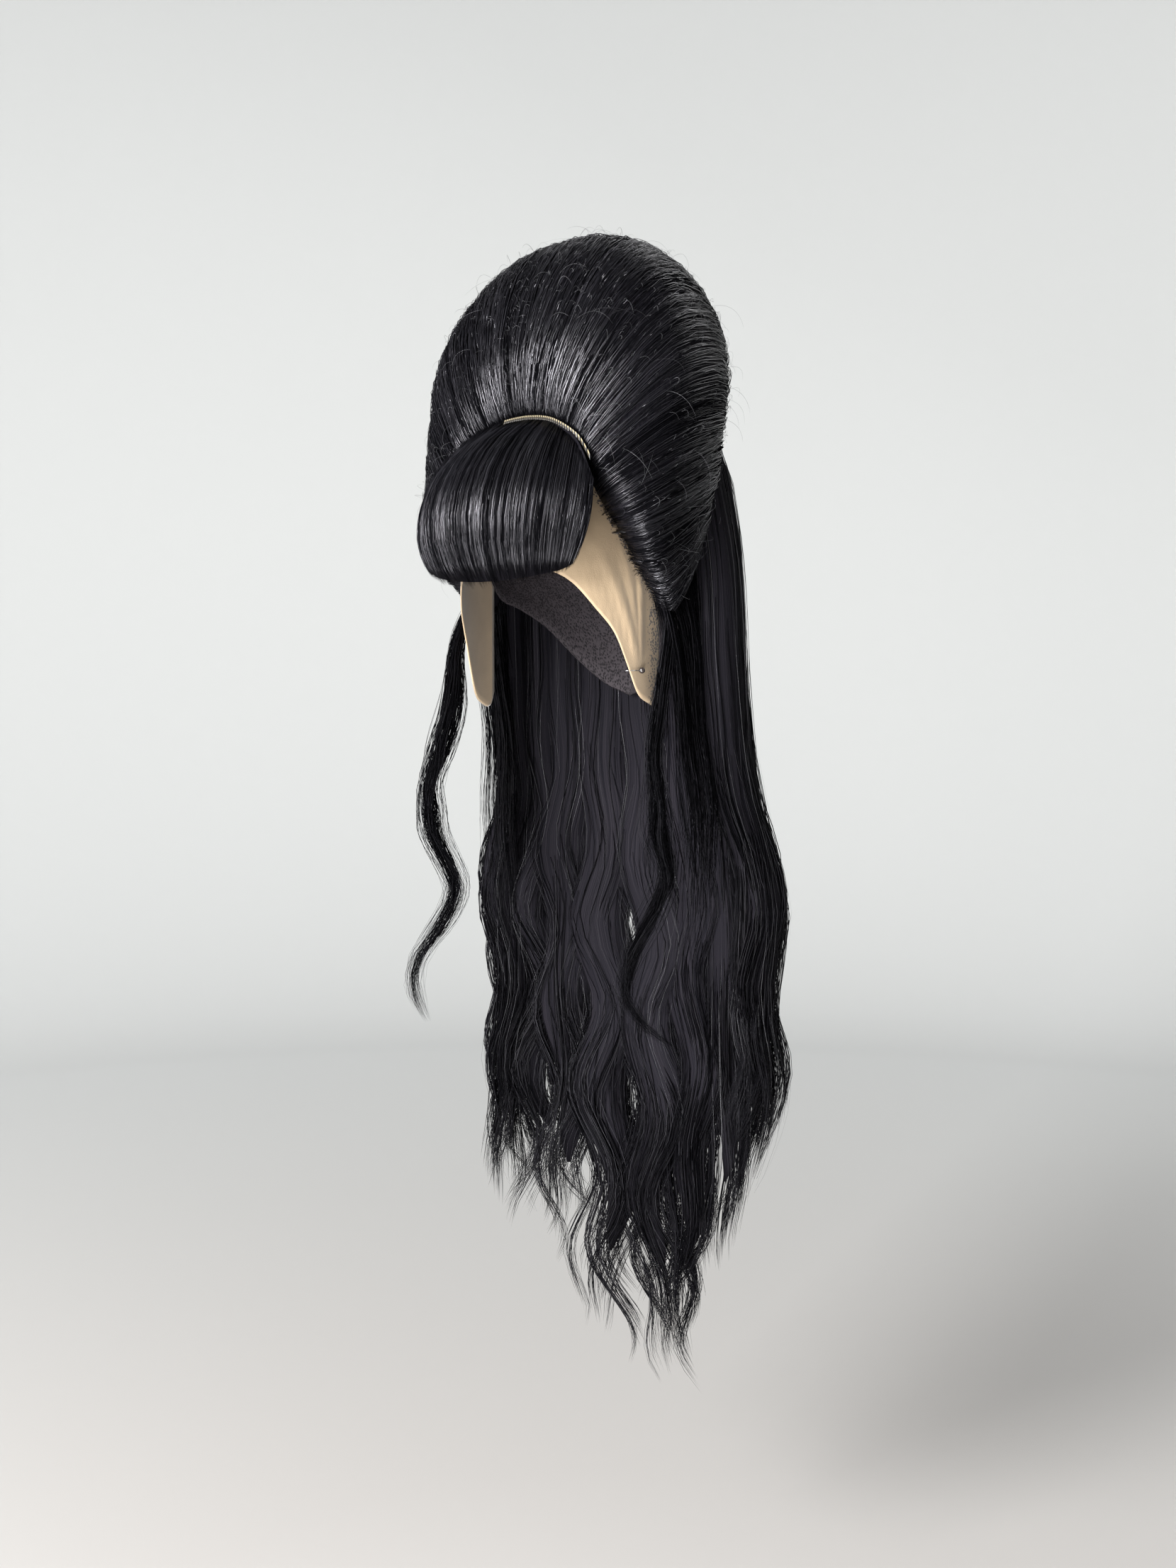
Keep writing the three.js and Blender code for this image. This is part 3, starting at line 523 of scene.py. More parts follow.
DEEP = 0.0022
ROOT_DROP = 0.0042
ROOT_TURN = 4
PARTING_DROP = 0.3
LACE_LAY = 0.0004
ROOT_LAY = 0.0022
TOP_TURN = 38
LAST_TEMPLE_TURN = 84
LAST_BACK_TURN = 108
CLOSE_ROOTS = 1.7
LAYER = (-0.0006, 0.001)
TONE_MIDDLE = 0.22
FURROW_PAINTED_SHADE = 0.3
TONE_SPREAD = 0.6
FRONT_STRANDS = 1700
TEMPLE_STRANDS = 900
CROWN_FURROW = 0.0015
CROWN_STRAND = (0.00022, 0.0005)


def along_strand(first, last, steps):
    """Shares of the way from front to tuck, closer together where the hair rises steeply from its edge."""
    return first[:, None] + (last - first)[:, None] * np.linspace(0, 1, steps) ** CLOSE_ROOTS


def sweep_line(start_turn, down, rng, before):
    """Directions from the hairline at one side to the tuck at the back, as an arc of a great circle."""
    count = len(start_turn)
    from_front = abs(start_turn)
    over_top = 180 - 0.35 * from_front
    round_side = LAST_BACK_TURN + (LAST_TEMPLE_TURN - from_front) * 1.3
    ends = np.where(from_front < TOP_TURN, over_top, np.maximum(round_side, LAST_BACK_TURN))
    end_turn = np.sign(start_turn) * ends
    end_turn = end_turn + rng.normal(0, 2.5, count)
    a = ray(start_turn, along(HAIR_EDGE, from_front) + rng.uniform(-0.7, 0.5, count) + before)
    b = ray(end_turn, along(HAIR_EDGE, np.minimum(abs(end_turn), 360 - abs(end_turn))) + 1)
    arc = np.arccos(np.clip((a * b).sum(-1), -1, 1))[:, None, None]
    s = down[..., None]
    aim = (np.sin((1 - s) * arc) * a[:, None] + np.sin(s * arc) * b[:, None]) / np.sin(arc)
    tilt = np.degrees(np.arccos(np.clip(aim[..., 2], -1, 1)))
    turn = np.degrees(np.arctan2(aim[..., 0], -aim[..., 1]))
    return turn, tilt


def waver(rng, count, steps, size, swings):
    """Small wander of each strand from its line, in metres."""
    s = np.linspace(0, 1, steps)
    phase = rng.uniform(0, 2 * np.pi, (count, 1))
    speed = rng.uniform(0.5, 1, (count, 1)) * swings
    return size * np.sin(2 * np.pi * speed * s + phase) * np.minimum(1, s / 0.2)


def root_dip(turn, tilt):
    """How far the hair dips along its edge, where it rises from the cap, less so at the parting."""
    near = np.clip(1 - (along(HAIR_EDGE, abs(turn)) - tilt) / ROOT_TURN, 0, 1) ** 2
    return ROOT_DROP * near * np.clip((abs(turn) - 24) / 12, PARTING_DROP, 1)


def furrow(place, down):
    """Grooves between groups of neighbouring strands, from -1 to 1, that wander on the way."""
    wide = np.sin(place * 0.41 + 2.1 * down) + np.sin(place * 0.97 - 3.3 * down + 1.3)
    fine = np.sin(place * 2.3 + 4.1 * down + 0.4) + np.sin(place * 4.9 - 5.2 * down + 2.2)
    return (wide + fine) / 4


def combed_paths(turn, tilt, height, drift):
    """Strands over the skin of the hair. They rise from the cap where they start at its edge."""
    inside_line = np.clip((along(HAIR_EDGE, abs(turn)) - tilt) / 2 + 0.5, 0, 1)
    lowest = head_reach(turn, tilt, LACE_WALL) + LACE_LAY + (ROOT_LAY - LACE_LAY) * inside_line
    distance = np.maximum(hair_reach(turn, tilt) + height - root_dip(turn, tilt), lowest)
    paths = on_ray(turn, tilt, distance)
    out = ray(turn, tilt)
    aim = np.gradient(paths, axis=1)
    side = np.cross(aim, out)
    side /= np.linalg.norm(side, axis=-1, keepdims=True) + 1e-12
    return paths + side * drift[..., None], out


# Tones of strands: partly at random, and partly painted shade, as strands that lie low in the grooves
# between groups are made darker and duller.
def strand_tones(rng, place):
    by_strand = TONE_SPREAD * rng.random(len(place)) ** 3
    return np.clip(TONE_MIDDLE + FURROW_PAINTED_SHADE * furrow(place, 0.5) + by_strand, 0, 1)


def crown_hair():
    rng = np.random.default_rng(11)
    steps = 11
    from_parting = rng.uniform(-TOP_TURN, TOP_TURN, FRONT_STRANDS)
    from_temple = rng.uniform(TOP_TURN, LAST_TEMPLE_TURN, TEMPLE_STRANDS)
    from_temple = from_temple * rng.choice([-1, 1], TEMPLE_STRANDS)
    start = np.concatenate([from_parting, from_temple])
    count = len(start)
    rooted = rng.random(count) < 0.55
    near_front = np.where(rooted, 0, rng.uniform(0, 0.5, count))
    first = np.where(np.arange(count) < FRONT_STRANDS, near_front, rng.uniform(0.3, 0.55, count))
    last = np.minimum(1, first + rng.uniform(0.5, 0.9, count))
    down = along_strand(first, last, steps)
    turn, tilt = sweep_line(start, down, rng, 0)
    layer = rng.uniform(*LAYER, count)[:, None]
    height = layer + CROWN_FURROW * furrow(start[:, None], down) + waver(rng, count, steps, 0.0005, 2)
    paths, out = combed_paths(turn, tilt, height, waver(rng, count, steps, 0.0016, 1.4))
    half_width = rng.uniform(*CROWN_STRAND, count)
    return comb("beehive_hair", paths, out, half_width, strand_tones(rng, start))


def bed_layers(turn, tilt, skin):
    """Outer and inner points of a bed that lies on the cap."""
    outer = on_ray(turn, tilt, np.maximum(skin, head_reach(turn, tilt, HAIR_SEAT + BED_LEAST)))
    return outer, on_ray(turn, tilt, head_reach(turn, tilt, HAIR_SEAT))


def crown_bed():
    turns = np.linspace(-180, 180, 121)[:-1]
    turn, share = np.meshgrid(turns, np.linspace(0, 1, 34))
    edge = np.minimum(along(HAIR_EDGE, abs(turn)), along(SEAM, abs(turn)))
    tilt = share * edge
    clumps = 0.0005 * np.sin(np.radians(turn) * 46) + 0.0004 * np.sin(np.radians(turn) * 31 + share * 5)
    skin = hair_reach(turn, tilt) - DEEP - root_dip(turn, tilt) + clumps * share
    return shell("beehive_bed", *bed_layers(turn, tilt, skin), True)


wear(crown_bed(), bed_black, "hair", "beehive")
wear(crown_hair(), strand_black, "hair", "beehive")


# Swept temples: hair knotted into the lace at the temples and round the ears, brushed up and back until it
# runs in under the crown's hair. Along the hairline the roots thin out over the lace.
HAIRLINE_FADE = 1.5
SWEEP_STRANDS = 1350
SWEEP_FURROW = 0.0012
SWEEP_STRAND = (0.0002, 0.00044)


def sweep_bed(side, name):
    turns = side * np.linspace(34.8, 112, 46)
    if side < 0:
        turns = turns[::-1]
    turn, share = np.meshgrid(turns, np.linspace(0, 1, 28))
    edge = along(HAIR_EDGE, abs(turn))
    top = np.minimum(edge - 0.5, along(SEAM, abs(turn)) - 1)
    tilt = top + share * (edge - 2.5 - top)
    skin = hair_reach(turn, tilt) - DEEP - root_dip(turn, tilt)
    return shell(name, *bed_layers(turn, tilt, skin), False)


def sweep_hair(side, name, seed):
    rng = np.random.default_rng(seed)
    count, steps = SWEEP_STRANDS, 9
    at_temple = rng.random(count) < 0.72
    start = side * np.where(
        at_temple, rng.uniform(36, LAST_TEMPLE_TURN, count), rng.uniform(80, LAST_BACK_TURN, count),
    )
    first = np.where(rng.random(count) < 0.6, 0, rng.uniform(0, 0.4, count))
    last = np.minimum(0.98, first + rng.uniform(0.35, 0.7, count))
    stray = (abs(start) < 76) & (rng.random(count) < 0.4)
    before = np.where(stray, np.minimum(rng.exponential(HAIRLINE_FADE, count), 3 * HAIRLINE_FADE), 0)
    down = along_strand(first, last, steps)
    turn, tilt = sweep_line(start, down, rng, before)
    layer = rng.uniform(*LAYER, count)[:, None]
    height = layer + SWEEP_FURROW * furrow(start[:, None], down) + waver(rng, count, steps, 0.0005, 2)
    paths, out = combed_paths(turn, tilt, height, waver(rng, count, steps, 0.0014, 1.4))
    return comb(name, paths, out, rng.uniform(*SWEEP_STRAND, count), strand_tones(rng, start))


for side, word in ((1, "left"), (-1, "right")):
    wear(sweep_bed(side, f"sweep_{word}_bed"), bed_black, "hair", f"sweep_{word}")
    wear(sweep_hair(side, f"sweep_{word}_hair", 20 + side), strand_black, "hair", f"sweep_{word}")


# Fringe: a full round roll of hair from the parting down over the forehead, cut blunt. Its strands run side
# by side over a bed of the same form.
ROLL_WIDTH = 0.23
ROLL_FRONT = 0.134
ROLL_LEVEL = -0.075
ROLL_RISE = 0.099
ROLL_FALL = 0.085
FRINGE_DEPTH = 0.013
CUT_TURN = 29
CUT_TILT = 113
CUT_ARCH = 3.5
ROOT_SHARE = 0.45
SIDE_BOW = 1.2
TOP_PINCH = 2.2
CORNER_ROUND = 1.2
FRINGE_STRANDS = 2500
FRINGE_STRAND = (0.0002, 0.00042)
POINTS = 19
POINT_DRAW = 0.6
UNEVEN_CUT = 0.012
BAND_TURN = 2.6
BAND_STAND = 0.0035
BAND_COLUMNS = (-4, 11)
FRINGE_COLUMNS = 12


def roll_reach(turn, tilt):
    def inside(p):
        high = p[..., 2] - ROLL_LEVEL
        tall = np.where(high > 0, ROLL_RISE, ROLL_FALL)
        return (p[..., 0] / (ROLL_WIDTH / 2)) ** 2 + (p[..., 1] / ROLL_FRONT) ** 2 + (high / tall) ** 2 < 1

    return reach(turn, tilt, inside)


def fringe_place(side, share):
    top = TOP_TURN * side
    start = along(HAIR_EDGE, abs(top)) + FIT_TURN
    cut = CUT_TILT - CUT_ARCH * side**2 - CORNER_ROUND * np.clip((abs(side) - 0.8) / 0.2, 0, 1) ** 2
    bow = SIDE_BOW * side * np.sin(np.pi * share) - TOP_PINCH * side * (1 - share) ** 2
    return top + share * (CUT_TURN * side - top) + bow * abs(side), start + share * (cut - start)


def fringe_bed():
    side, share = np.meshgrid(np.linspace(-1, 1, 60), np.linspace(0, 0.985, 28))
    turn, tilt = fringe_place(side, share)
    skin = roll_reach(turn, tilt)
    start = along(HAIR_EDGE, abs(TOP_TURN * side)) + FIT_TURN
    beside_band = np.clip((tilt - start) / BAND_TURN, 0, 1)
    sunk = np.where(beside_band < 1, CAP_WALL + FIT_GAP - BAND_STAND * (1 - beside_band), 0.0018)
    seat = head_reach(turn, tilt, HAIR_SEAT)
    under = np.maximum(seat, skin - FRINGE_DEPTH)
    inner = seat + (under - seat) * np.clip(share / ROOT_SHARE, 0, 1) ** 2
    return shell("fringe_bed", on_ray(turn, tilt, skin - sunk), on_ray(turn, tilt, inner), False)


def fringe_hair():
    rng = np.random.default_rng(31)
    count, steps = FRINGE_STRANDS, 10
    side = rng.uniform(-1, 1, count)[:, None]
    deep = rng.random(count)[:, None] ** 3
    point = np.round(side * POINTS + rng.normal(0, 0.25, (count, 1))) / POINTS
    uneven = UNEVEN_CUT * np.sin(point * 61 + 2 * np.sin(point * 23))
    end = 1.02 - rng.exponential(0.014, count)[:, None] - 0.05 * deep + uneven
    band = BAND_TURN / (CUT_TILT - along(HAIR_EDGE, abs(TOP_TURN * side)))
    beside_mesh = (side > BAND_COLUMNS[0] / FRINGE_COLUMNS) & (side < BAND_COLUMNS[1] / FRINGE_COLUMNS)
    root = band * np.where(beside_mesh, rng.uniform(0.75, 1.1, (count, 1)), rng.uniform(0, 1, (count, 1)))
    start = np.where(rng.random(count)[:, None] < 0.75, root, rng.uniform(0.05, 0.4, count)[:, None])
    share = start + (end - start) * np.linspace(0, 1, steps)
    gather = side + rng.normal(0, 0.012, count)[:, None] * share + POINT_DRAW * (point - side) * share**8
    turn, tilt = fringe_place(np.clip(gather, -1.03, 1.03), share)
    inset = rng.uniform(*LAYER, count)[:, None] + deep * (FRINGE_DEPTH - 0.002)
    inset = inset * np.minimum(1, share / 0.3)
    stand = BAND_STAND * np.clip(1 - share / band, 0, 1)
    height = waver(rng, count, steps, 0.0005, 1.6) + 0.0005 * furrow(side * TOP_TURN, share) - inset + stand
    paths = on_ray(turn, tilt, roll_reach(turn, tilt) + height)
    out = ray(turn, tilt)
    tone = strand_tones(rng, side[:, 0] * TOP_TURN)
    return comb("fringe_hair", paths, out, rng.uniform(*FRINGE_STRAND, count), tone)


wear(fringe_bed(), bed_black, "hair", "fringe")
wear(fringe_hair(), strand_black, "hair", "fringe")


# Parting band: a narrow strip of gold-beige mesh that shows along the arched parting, between the hair that
# goes up and the hair that falls forward.
BAND_WALL = 0.001
BAND_RIBS = 40


def band_layer(sunk):
    first, last = (TOP_TURN * column / FRINGE_COLUMNS for column in BAND_COLUMNS)
    turn, share = np.meshgrid(np.linspace(first, last, 160), np.linspace(0, 1, 9))
    down = share * (BAND_TURN - 3 * FIT_TURN)
    tilt = along(HAIR_EDGE, abs(turn)) + FIT_TURN + down
    return on_ray(turn, tilt, roll_reach(turn, tilt) + BAND_STAND * (1 - down / BAND_TURN) - sunk)


def band_finish():
    finish, shader = new_finish("gold mesh", 0.45)
    links = finish.node_tree.links
    ribs = node(finish, "ShaderNodeTexWave", Scale=BAND_RIBS * math.pi / 10, Distortion=1.2, Detail=2.0)
    links.new(place_map(finish, 1, 0.03, 1), ribs.inputs["Vector"])
    gold = ramp(finish, ribs.outputs["Fac"], 0.4, 0.62, (0.008, 0.007, 0.005), (0.19, 0.155, 0.095))
    rows = node(finish, "ShaderNodeSeparateXYZ")
    links.new(place_map(finish, 1, 1, 1), rows.inputs["Vector"])
    # Painted shade: the mesh's lower rows, under the fringe's standing roots, are painted nearly black.
    shade = ramp(finish, rows.outputs["Y"], 0.2, 0.6, (1, 1, 1), (0.08, 0.07, 0.06))
    colour = node(finish, "ShaderNodeMix")
    colour.data_type = "RGBA"
    colour.blend_type = "MULTIPLY"
    colour.inputs["Factor"].default_value = 1
    links.new(gold, colour.inputs["A"])
    links.new(shade, colour.inputs["B"])
    links.new(colour.outputs["Result"], shader.inputs["Base Color"])
    add_bump(finish, shader, ribs.outputs["Fac"], 0.7, 0.0005)
    return finish


mesh_strip = shell("parting_mesh", band_layer(0), band_layer(BAND_WALL), False)
wear(mesh_strip, band_finish(), "band", "parting_band")


# Long fall: waved locks that hang from the back of the cap, side by side from ear to ear. Each lock has its
# own swing and length, and its strands part into fine ends.
FALL_LENGTH = 0.812
LOCK_WIDTH = 0.064
LOCK_DEPTH = 0.034
WAVE_LENGTH = 0.15
WAVE_DEPTH = 0.012
WAVE_FROM = 0.18
WAVE_FULL = 0.5
SPREAD_FROM = 0.5
SPREAD_FULL = 0.8
TIP_SHARE = 0.78
# share of the way down, half width, middle, depth at the back
FALL_FORM = [
    (-0.03, 0.8, 0.36, 0.69), (0, 0.88, 0.44, 0.71), (0.05, 0.94, 0.49, 0.71), (0.12, 1, 0.53, 0.65),
    (0.25, 1.02, 0.6, 0.58), (0.35, 1.06, 0.73, 0.51), (0.41, 1.17, 0.76, 0.49), (0.47, 1.23, 0.8, 0.47),
    (0.555, 1.13, 0.84, 0.45), (0.64, 1.22, 0.88, 0.42), (0.74, 1.12, 0.91, 0.38), (0.84, 0.93, 0.93, 0.35),
    (1, 0.8, 0.95, 0.31),
]
LOCKS = {
    # turn, length, width, wave, phase, spread
    "left": [
        (86, 0.735, 0.72, 0.33, 0.1, -0.06), (104, 0.75, 0.81, 0.67, 0.55, 0),
        (122, 0.78, 0.84, 0.75, 0.2, 0), (140, 0.87, 0.91, 0.67, 0.8, 0),
    ],
    "back": [
        (158, 0.97, 1, 0.83, 0.35, 0), (178, 1, 1, 1, 0.05, 0), (199, 0.985, 0.94, 0.75, 0.6, 0),
    ],
    "right": [
        (219, 0.88, 0.91, 0.67, 0.15, 0.1), (237, 0.84, 0.87, 0.75, 0.7, 0.22),
        (256, 0.82, 0.84, 0.58, 0.4, 0.34), (274, 0.79, 0.72, 0.42, 0.9, 0.34),
    ],
}


def lock_course(lock, down):
    """Middle of a lock on its way down, with how wide and deep it is there."""
    turn, length, wide, wave, phase, spread = lock
    angle = math.radians(turn)
    across = np.array([math.cos(angle), math.sin(angle), 0])
    out = np.array([math.sin(angle), -math.cos(angle), 0])
    half, middle, back = (along(FALL_FORM, down, column) for column in (1, 2, 3))
    thin = np.clip((down / length - TIP_SHARE) / (1 - TIP_SHARE), 0, 1)
    slim = np.maximum(0.05, np.sqrt(1 - thin**2.2) * (1 - 0.3 * thin))
    wavy = np.clip((down - WAVE_FROM) / (WAVE_FULL - WAVE_FROM), 0, 1)
    cycle = down * FALL_LENGTH / WAVE_LENGTH + phase
    swing = wavy * wave * WAVE_DEPTH * np.sin(2 * np.pi * cycle)
    outward = np.clip((down - SPREAD_FROM) / (SPREAD_FULL - SPREAD_FROM), 0, 1) ** 2 * spread * LOCK_WIDTH
    x = out[0] * (half * CROWN_WIDTH / 2 - LOCK_DEPTH / 2)
    y = middle * CROWN_BACK + out[1] * (back * CROWN_BACK - LOCK_DEPTH / 2)
    centre = np.stack([x, y, -down * FALL_LENGTH], -1) + across * swing[..., None] + out * outward[..., None]
    return centre, across, out, wide * LOCK_WIDTH * slim, LOCK_DEPTH * slim


def seen_from_eye(points):
    """The rays to points, with their length, turn and tilt."""
    ray_to = points - EYE
    far = np.linalg.norm(ray_to, axis=-1)
    tilt = np.degrees(np.arccos(np.clip(ray_to[..., 2] / far, -1, 1)))
    turn = np.degrees(np.arctan2(ray_to[..., 0], -ray_to[..., 1]))
    return ray_to, far, turn, tilt


def off_head(points, gap):
    """Keeps points on or outside the cap."""
    ray_to, far, turn, tilt = seen_from_eye(points)
    least = np.where(tilt < 158, head_reach(turn, tilt, gap), 0)
    return EYE + ray_to * (np.maximum(far, least) / far)[..., None]


EASE_FROM = -0.1
EASE_FULL = -0.05
EASE_TO = 0.025
BED_END = 0.86


def ease_in(points, down, height):
    """Draws the top of the fall in against the crown, so that it comes out from under its hair."""
    ray_to, far, turn, tilt = seen_from_eye(points)
    skin = np.minimum(far, hair_reach(turn, tilt) + height)
    near = np.clip((EASE_TO - down) / (EASE_TO - EASE_FULL), 0, 1) ** 1.5
    return EYE + ray_to * ((far + (skin - far) * near) / far)[..., None]


def lock_bed(name, locks):
    around = np.radians(np.arange(0, 360, 30))
    rings, places, faces = [], [], []
    for lock in locks:
        down = np.linspace(0.0, lock[1] * BED_END, 34)
        centre, across, out, wide, deep = lock_course(lock, down)
        close = np.sqrt(np.clip((BED_END - down / lock[1]) / 0.24, 0.004, 1))
        ring = (
            centre[:, None]
            + across * (0.46 * (wide * close)[:, None] * np.cos(around))[..., None]
            + out * (0.44 * (deep * close)[:, None] * np.sin(around))[..., None]
        )
        base = len(rings) * len(down) * len(around)
        ring = ease_in(ring, down[:, None] + 0 * around, -DEEP)
        rings.append(off_head(ring, HAIR_SEAT + 0.0006))
        place_down, place_round = np.meshgrid(down, around / (2 * np.pi), indexing="ij")
        places.append(np.stack([place_round, place_down, 0 * place_down + lock[4]], -1))
        n = len(around)
        for i in range(len(down) - 1):
            for j in range(n):
                k = (j + 1) % n
                low, high = base + i * n, base + (i + 1) * n
                faces.append((low + j, low + k, high + k, high + j))
        faces.append(tuple(base + j for j in range(n))[::-1])
        faces.append(tuple(base + (len(down) - 1) * n + j for j in range(n)))
    mesh = bpy.data.meshes.new(name)
    mesh.from_pydata(np.concatenate(rings).reshape(-1, 3).tolist(), [], faces)
    place = mesh.attributes.new("place", "FLOAT_VECTOR", "POINT")
    place.data.foreach_set("vector", np.concatenate(places).ravel())
    for face in mesh.polygons:
        face.use_smooth = len(face.vertices) == 4
    piece = bpy.data.objects.new(name, mesh)
    scene.collection.objects.link(piece)
    return piece


# Painted shade: the fall, the hair past the ears and the side locks use a darker, duller copy of the black
# hair, standing in for the shade they hang in.
fall_shaded_black = hair_finish(
    "fall strands", (0.001, 0.001, 0.0012), (0.005, 0.0047, 0.006), 0.36, dull=0, glossy=0.18,
)
GUIDES = 11
GUIDE_SWING = 0.005
TIP_CURL = 0.046
TIP_RISE = 0.012
TIP_FROM = 0.8
FALL_STRAND = (0.00028, 0.0006)
EAR_STRANDS = 420
EAR_STRAND = (0.00018, 0.0004)
EAR_BEND = 0.08


def lock_hair(name, locks, count, seed):
    """Strands in small groups that draw together towards the lock's tip, each group with its own swing."""
    rng = np.random.default_rng(seed)
    steps = 15
    all_paths, all_out, all_tones = [], [], []
    for lock in locks:
        length = lock[1]
        n = count // len(locks)
        guide_angle = (np.arange(GUIDES) + rng.uniform(-0.3, 0.3, GUIDES)) * 2 * np.pi / GUIDES
        guide_far = rng.uniform(0.4, 0.95, GUIDES)
        guide_phase = rng.uniform(0, 1, GUIDES)
        guide_end = length * np.append(rng.uniform(0.92, 1.0, GUIDES - 1), 1)
        sideways = math.sin(math.radians(lock[0]))
        way = -np.sign(sideways) if abs(sideways) > 0.5 else np.sign(lock[4] - 0.3)
        guide_curl = way * rng.uniform(0.5, 1, GUIDES) * rng.choice([-0.6, 1, 1, 1], GUIDES)
        pick = rng.integers(0, GUIDES, n)
        angle = (guide_angle[pick] + rng.normal(0, 0.3, n))[:, None]
        far = (1 - 0.3 * rng.random(n) ** 1.5)[:, None]
        end = guide_end[pick] * rng.uniform(0.96, 1.0, n)
        span = rng.uniform(0.26, 0.42, n)
        first = (end - span) * np.where(rng.random(n) < 0.54, 1, rng.random(n))
        first = np.where(first < 0.14, EASE_FROM * rng.random(n), first)
        down = first[:, None] + span[:, None] * np.linspace(0, 1, steps)
        centre, across, out, wide, deep = lock_course(lock, down)
        gone = np.clip(down / length, 0, 1)
        pull = 0.55 * np.clip((gone - 0.35) / 0.65, 0, 1) ** 1.5
        u = np.cos(angle) * far * (1 - pull) + (np.cos(guide_angle) * guide_far)[pick][:, None] * pull
        v = np.sin(angle) * far * (1 - pull) + (np.sin(guide_angle) * guide_far)[pick][:, None] * pull
        wavy = np.clip((down - WAVE_FROM) / (WAVE_FULL - WAVE_FROM), 0, 1)
        cycle = down * FALL_LENGTH / WAVE_LENGTH + guide_phase[pick][:, None]
        swing = GUIDE_SWING * wavy * np.sin(2 * np.pi * cycle)
        turned = np.clip((down / end[:, None] - TIP_FROM) / (1 - TIP_FROM), 0, 1) ** 2
        curl = TIP_CURL * guide_curl[pick][:, None] * turned
        loose = np.maximum(wide * (1 + 0.12 * gone), 0.038)
        aside = u * loose / 2 + swing + curl + waver(rng, n, steps, 0.0011, 1.5)
        outward = v * np.maximum(deep, 0.014) / 2 + 0.3 * swing + waver(rng, n, steps, 0.0009, 1.5)
        rise = np.array([0, 0, TIP_RISE]) * turned[..., None]
        paths = centre + across * aside[..., None] + out * outward[..., None] + rise
        paths = ease_in(paths, down, 0.0008 * far)
        paths = off_head(paths, HAIR_SEAT + 0.001)
        all_paths.append(paths)
        all_out.append(np.broadcast_to(across * u[..., None] + out * v[..., None], paths.shape))
        all_tones.append(np.clip(0.35 * rng.random(GUIDES)[pick] + 0.6 * rng.random(n) ** 2, 0, 1))
    paths = np.concatenate(all_paths)
    width = rng.uniform(*FALL_STRAND, len(paths))
    return comb(name, paths, np.concatenate(all_out), width, np.concatenate(all_tones))


def ear_hair(side, name, seed):
    """Hair from the lowest point of the hairline that falls straight past the ear into the long fall."""
    rng = np.random.default_rng(seed)
    count, steps = EAR_STRANDS, 10
    turn = rng.uniform(70, 112, count)
    tilt = along(HAIR_EDGE, turn) - rng.uniform(-0.5, 5, count)
    behind = np.clip((turn - 84) / 28, 0, 1)
    start = np.maximum(hair_reach(turn, tilt) - 0.003, head_reach(turn, tilt, 0.0025))
    root = on_ray(side * turn, tilt, start)
    drop = rng.uniform(0.12, 0.3, count)[:, None] * np.linspace(0, 1, steps)
    flow = 1 - np.exp(-drop / EAR_BEND)
    swing = 0.003 * np.sin(drop / WAVE_LENGTH * 2 * np.pi + rng.uniform(0, 1, (count, 1)))
    swing = swing * np.minimum(1, drop / WAVE_LENGTH)
    ahead = rng.uniform(0.012, 0.04, (count, 1)) * (1 - 0.6 * behind[:, None]) + 0.01
    paths = np.stack([
        root[:, :1] + side * (0.008 * flow + swing),
        root[:, 1:2] + ahead * flow + waver(rng, count, steps, 0.002, 2),
        root[:, 2:] - drop + 0 * flow,
    ], -1)
    facing = np.broadcast_to(np.array([side, -0.4, 0]), paths.shape)
    paths = off_head(paths, HAIR_SEAT + 0.0015)
    return comb(name, paths, facing, rng.uniform(*EAR_STRAND, count), 0.8 * rng.random(count) ** 2)


for word, count, seed in (("left", 1300, 41), ("back", 1150, 42), ("right", 1300, 43)):
    wear(lock_bed(f"fall_{word}_bed", LOCKS[word]), bed_black, "hair", f"fall_{word}")
    wear(lock_hair(f"fall_{word}_hair", LOCKS[word], count, seed), fall_shaded_black, "hair", f"fall_{word}")

wear(ear_hair(1, "ear_hair_left", 44), fall_shaded_black, "hair", "fall_left")
wear(ear_hair(-1, "ear_hair_right", 45), fall_shaded_black, "hair", "fall_right")


# Side locks: one thin waved lock in front of each ear, knotted at the temple and set in loose bends that
# thin out and part into wisps.
SIDE_DROP = 0.474
SIDE_WIDTH = 0.024
SIDE_DEPTH = 0.012
SIDE_STRANDS = 300
SIDE_STRAND = (0.00015, 0.00032)
ROOT_FAN = 0.014
ROOT_BACK = 0.002
# share of the way down, aside, back, width, depth
SIDE_LEFT = [
    (0.224, 1.04, 0.06, 0.29, 0.42), (0.266, 1.11, -0.01, 0.29, 0.42), (0.316, 1.14, -0.01, 0.54, 0.67),
    (0.441, 1.11, -0.09, 0.71, 0.83), (0.519, 1.15, -0.22, 0.54, 0.83), (0.597, 1.2, -0.23, 0.67, 0.92),
    (0.648, 1.22, -0.23, 0.96, 1), (0.713, 1.3, -0.22, 0.62, 0.92), (0.774, 1.16, -0.24, 0.58, 0.92),
    (0.827, 0.99, -0.28, 0.58, 0.83), (0.878, 0.89, -0.29, 0.46, 0.75), (0.914, 0.89, -0.29, 0.38, 0.67),
    (0.945, 0.99, -0.27, 0.33, 0.58), (0.975, 1.22, -0.24, 0.29, 0.42), (1, 1.49, -0.2, 0.12, 0.17),
]
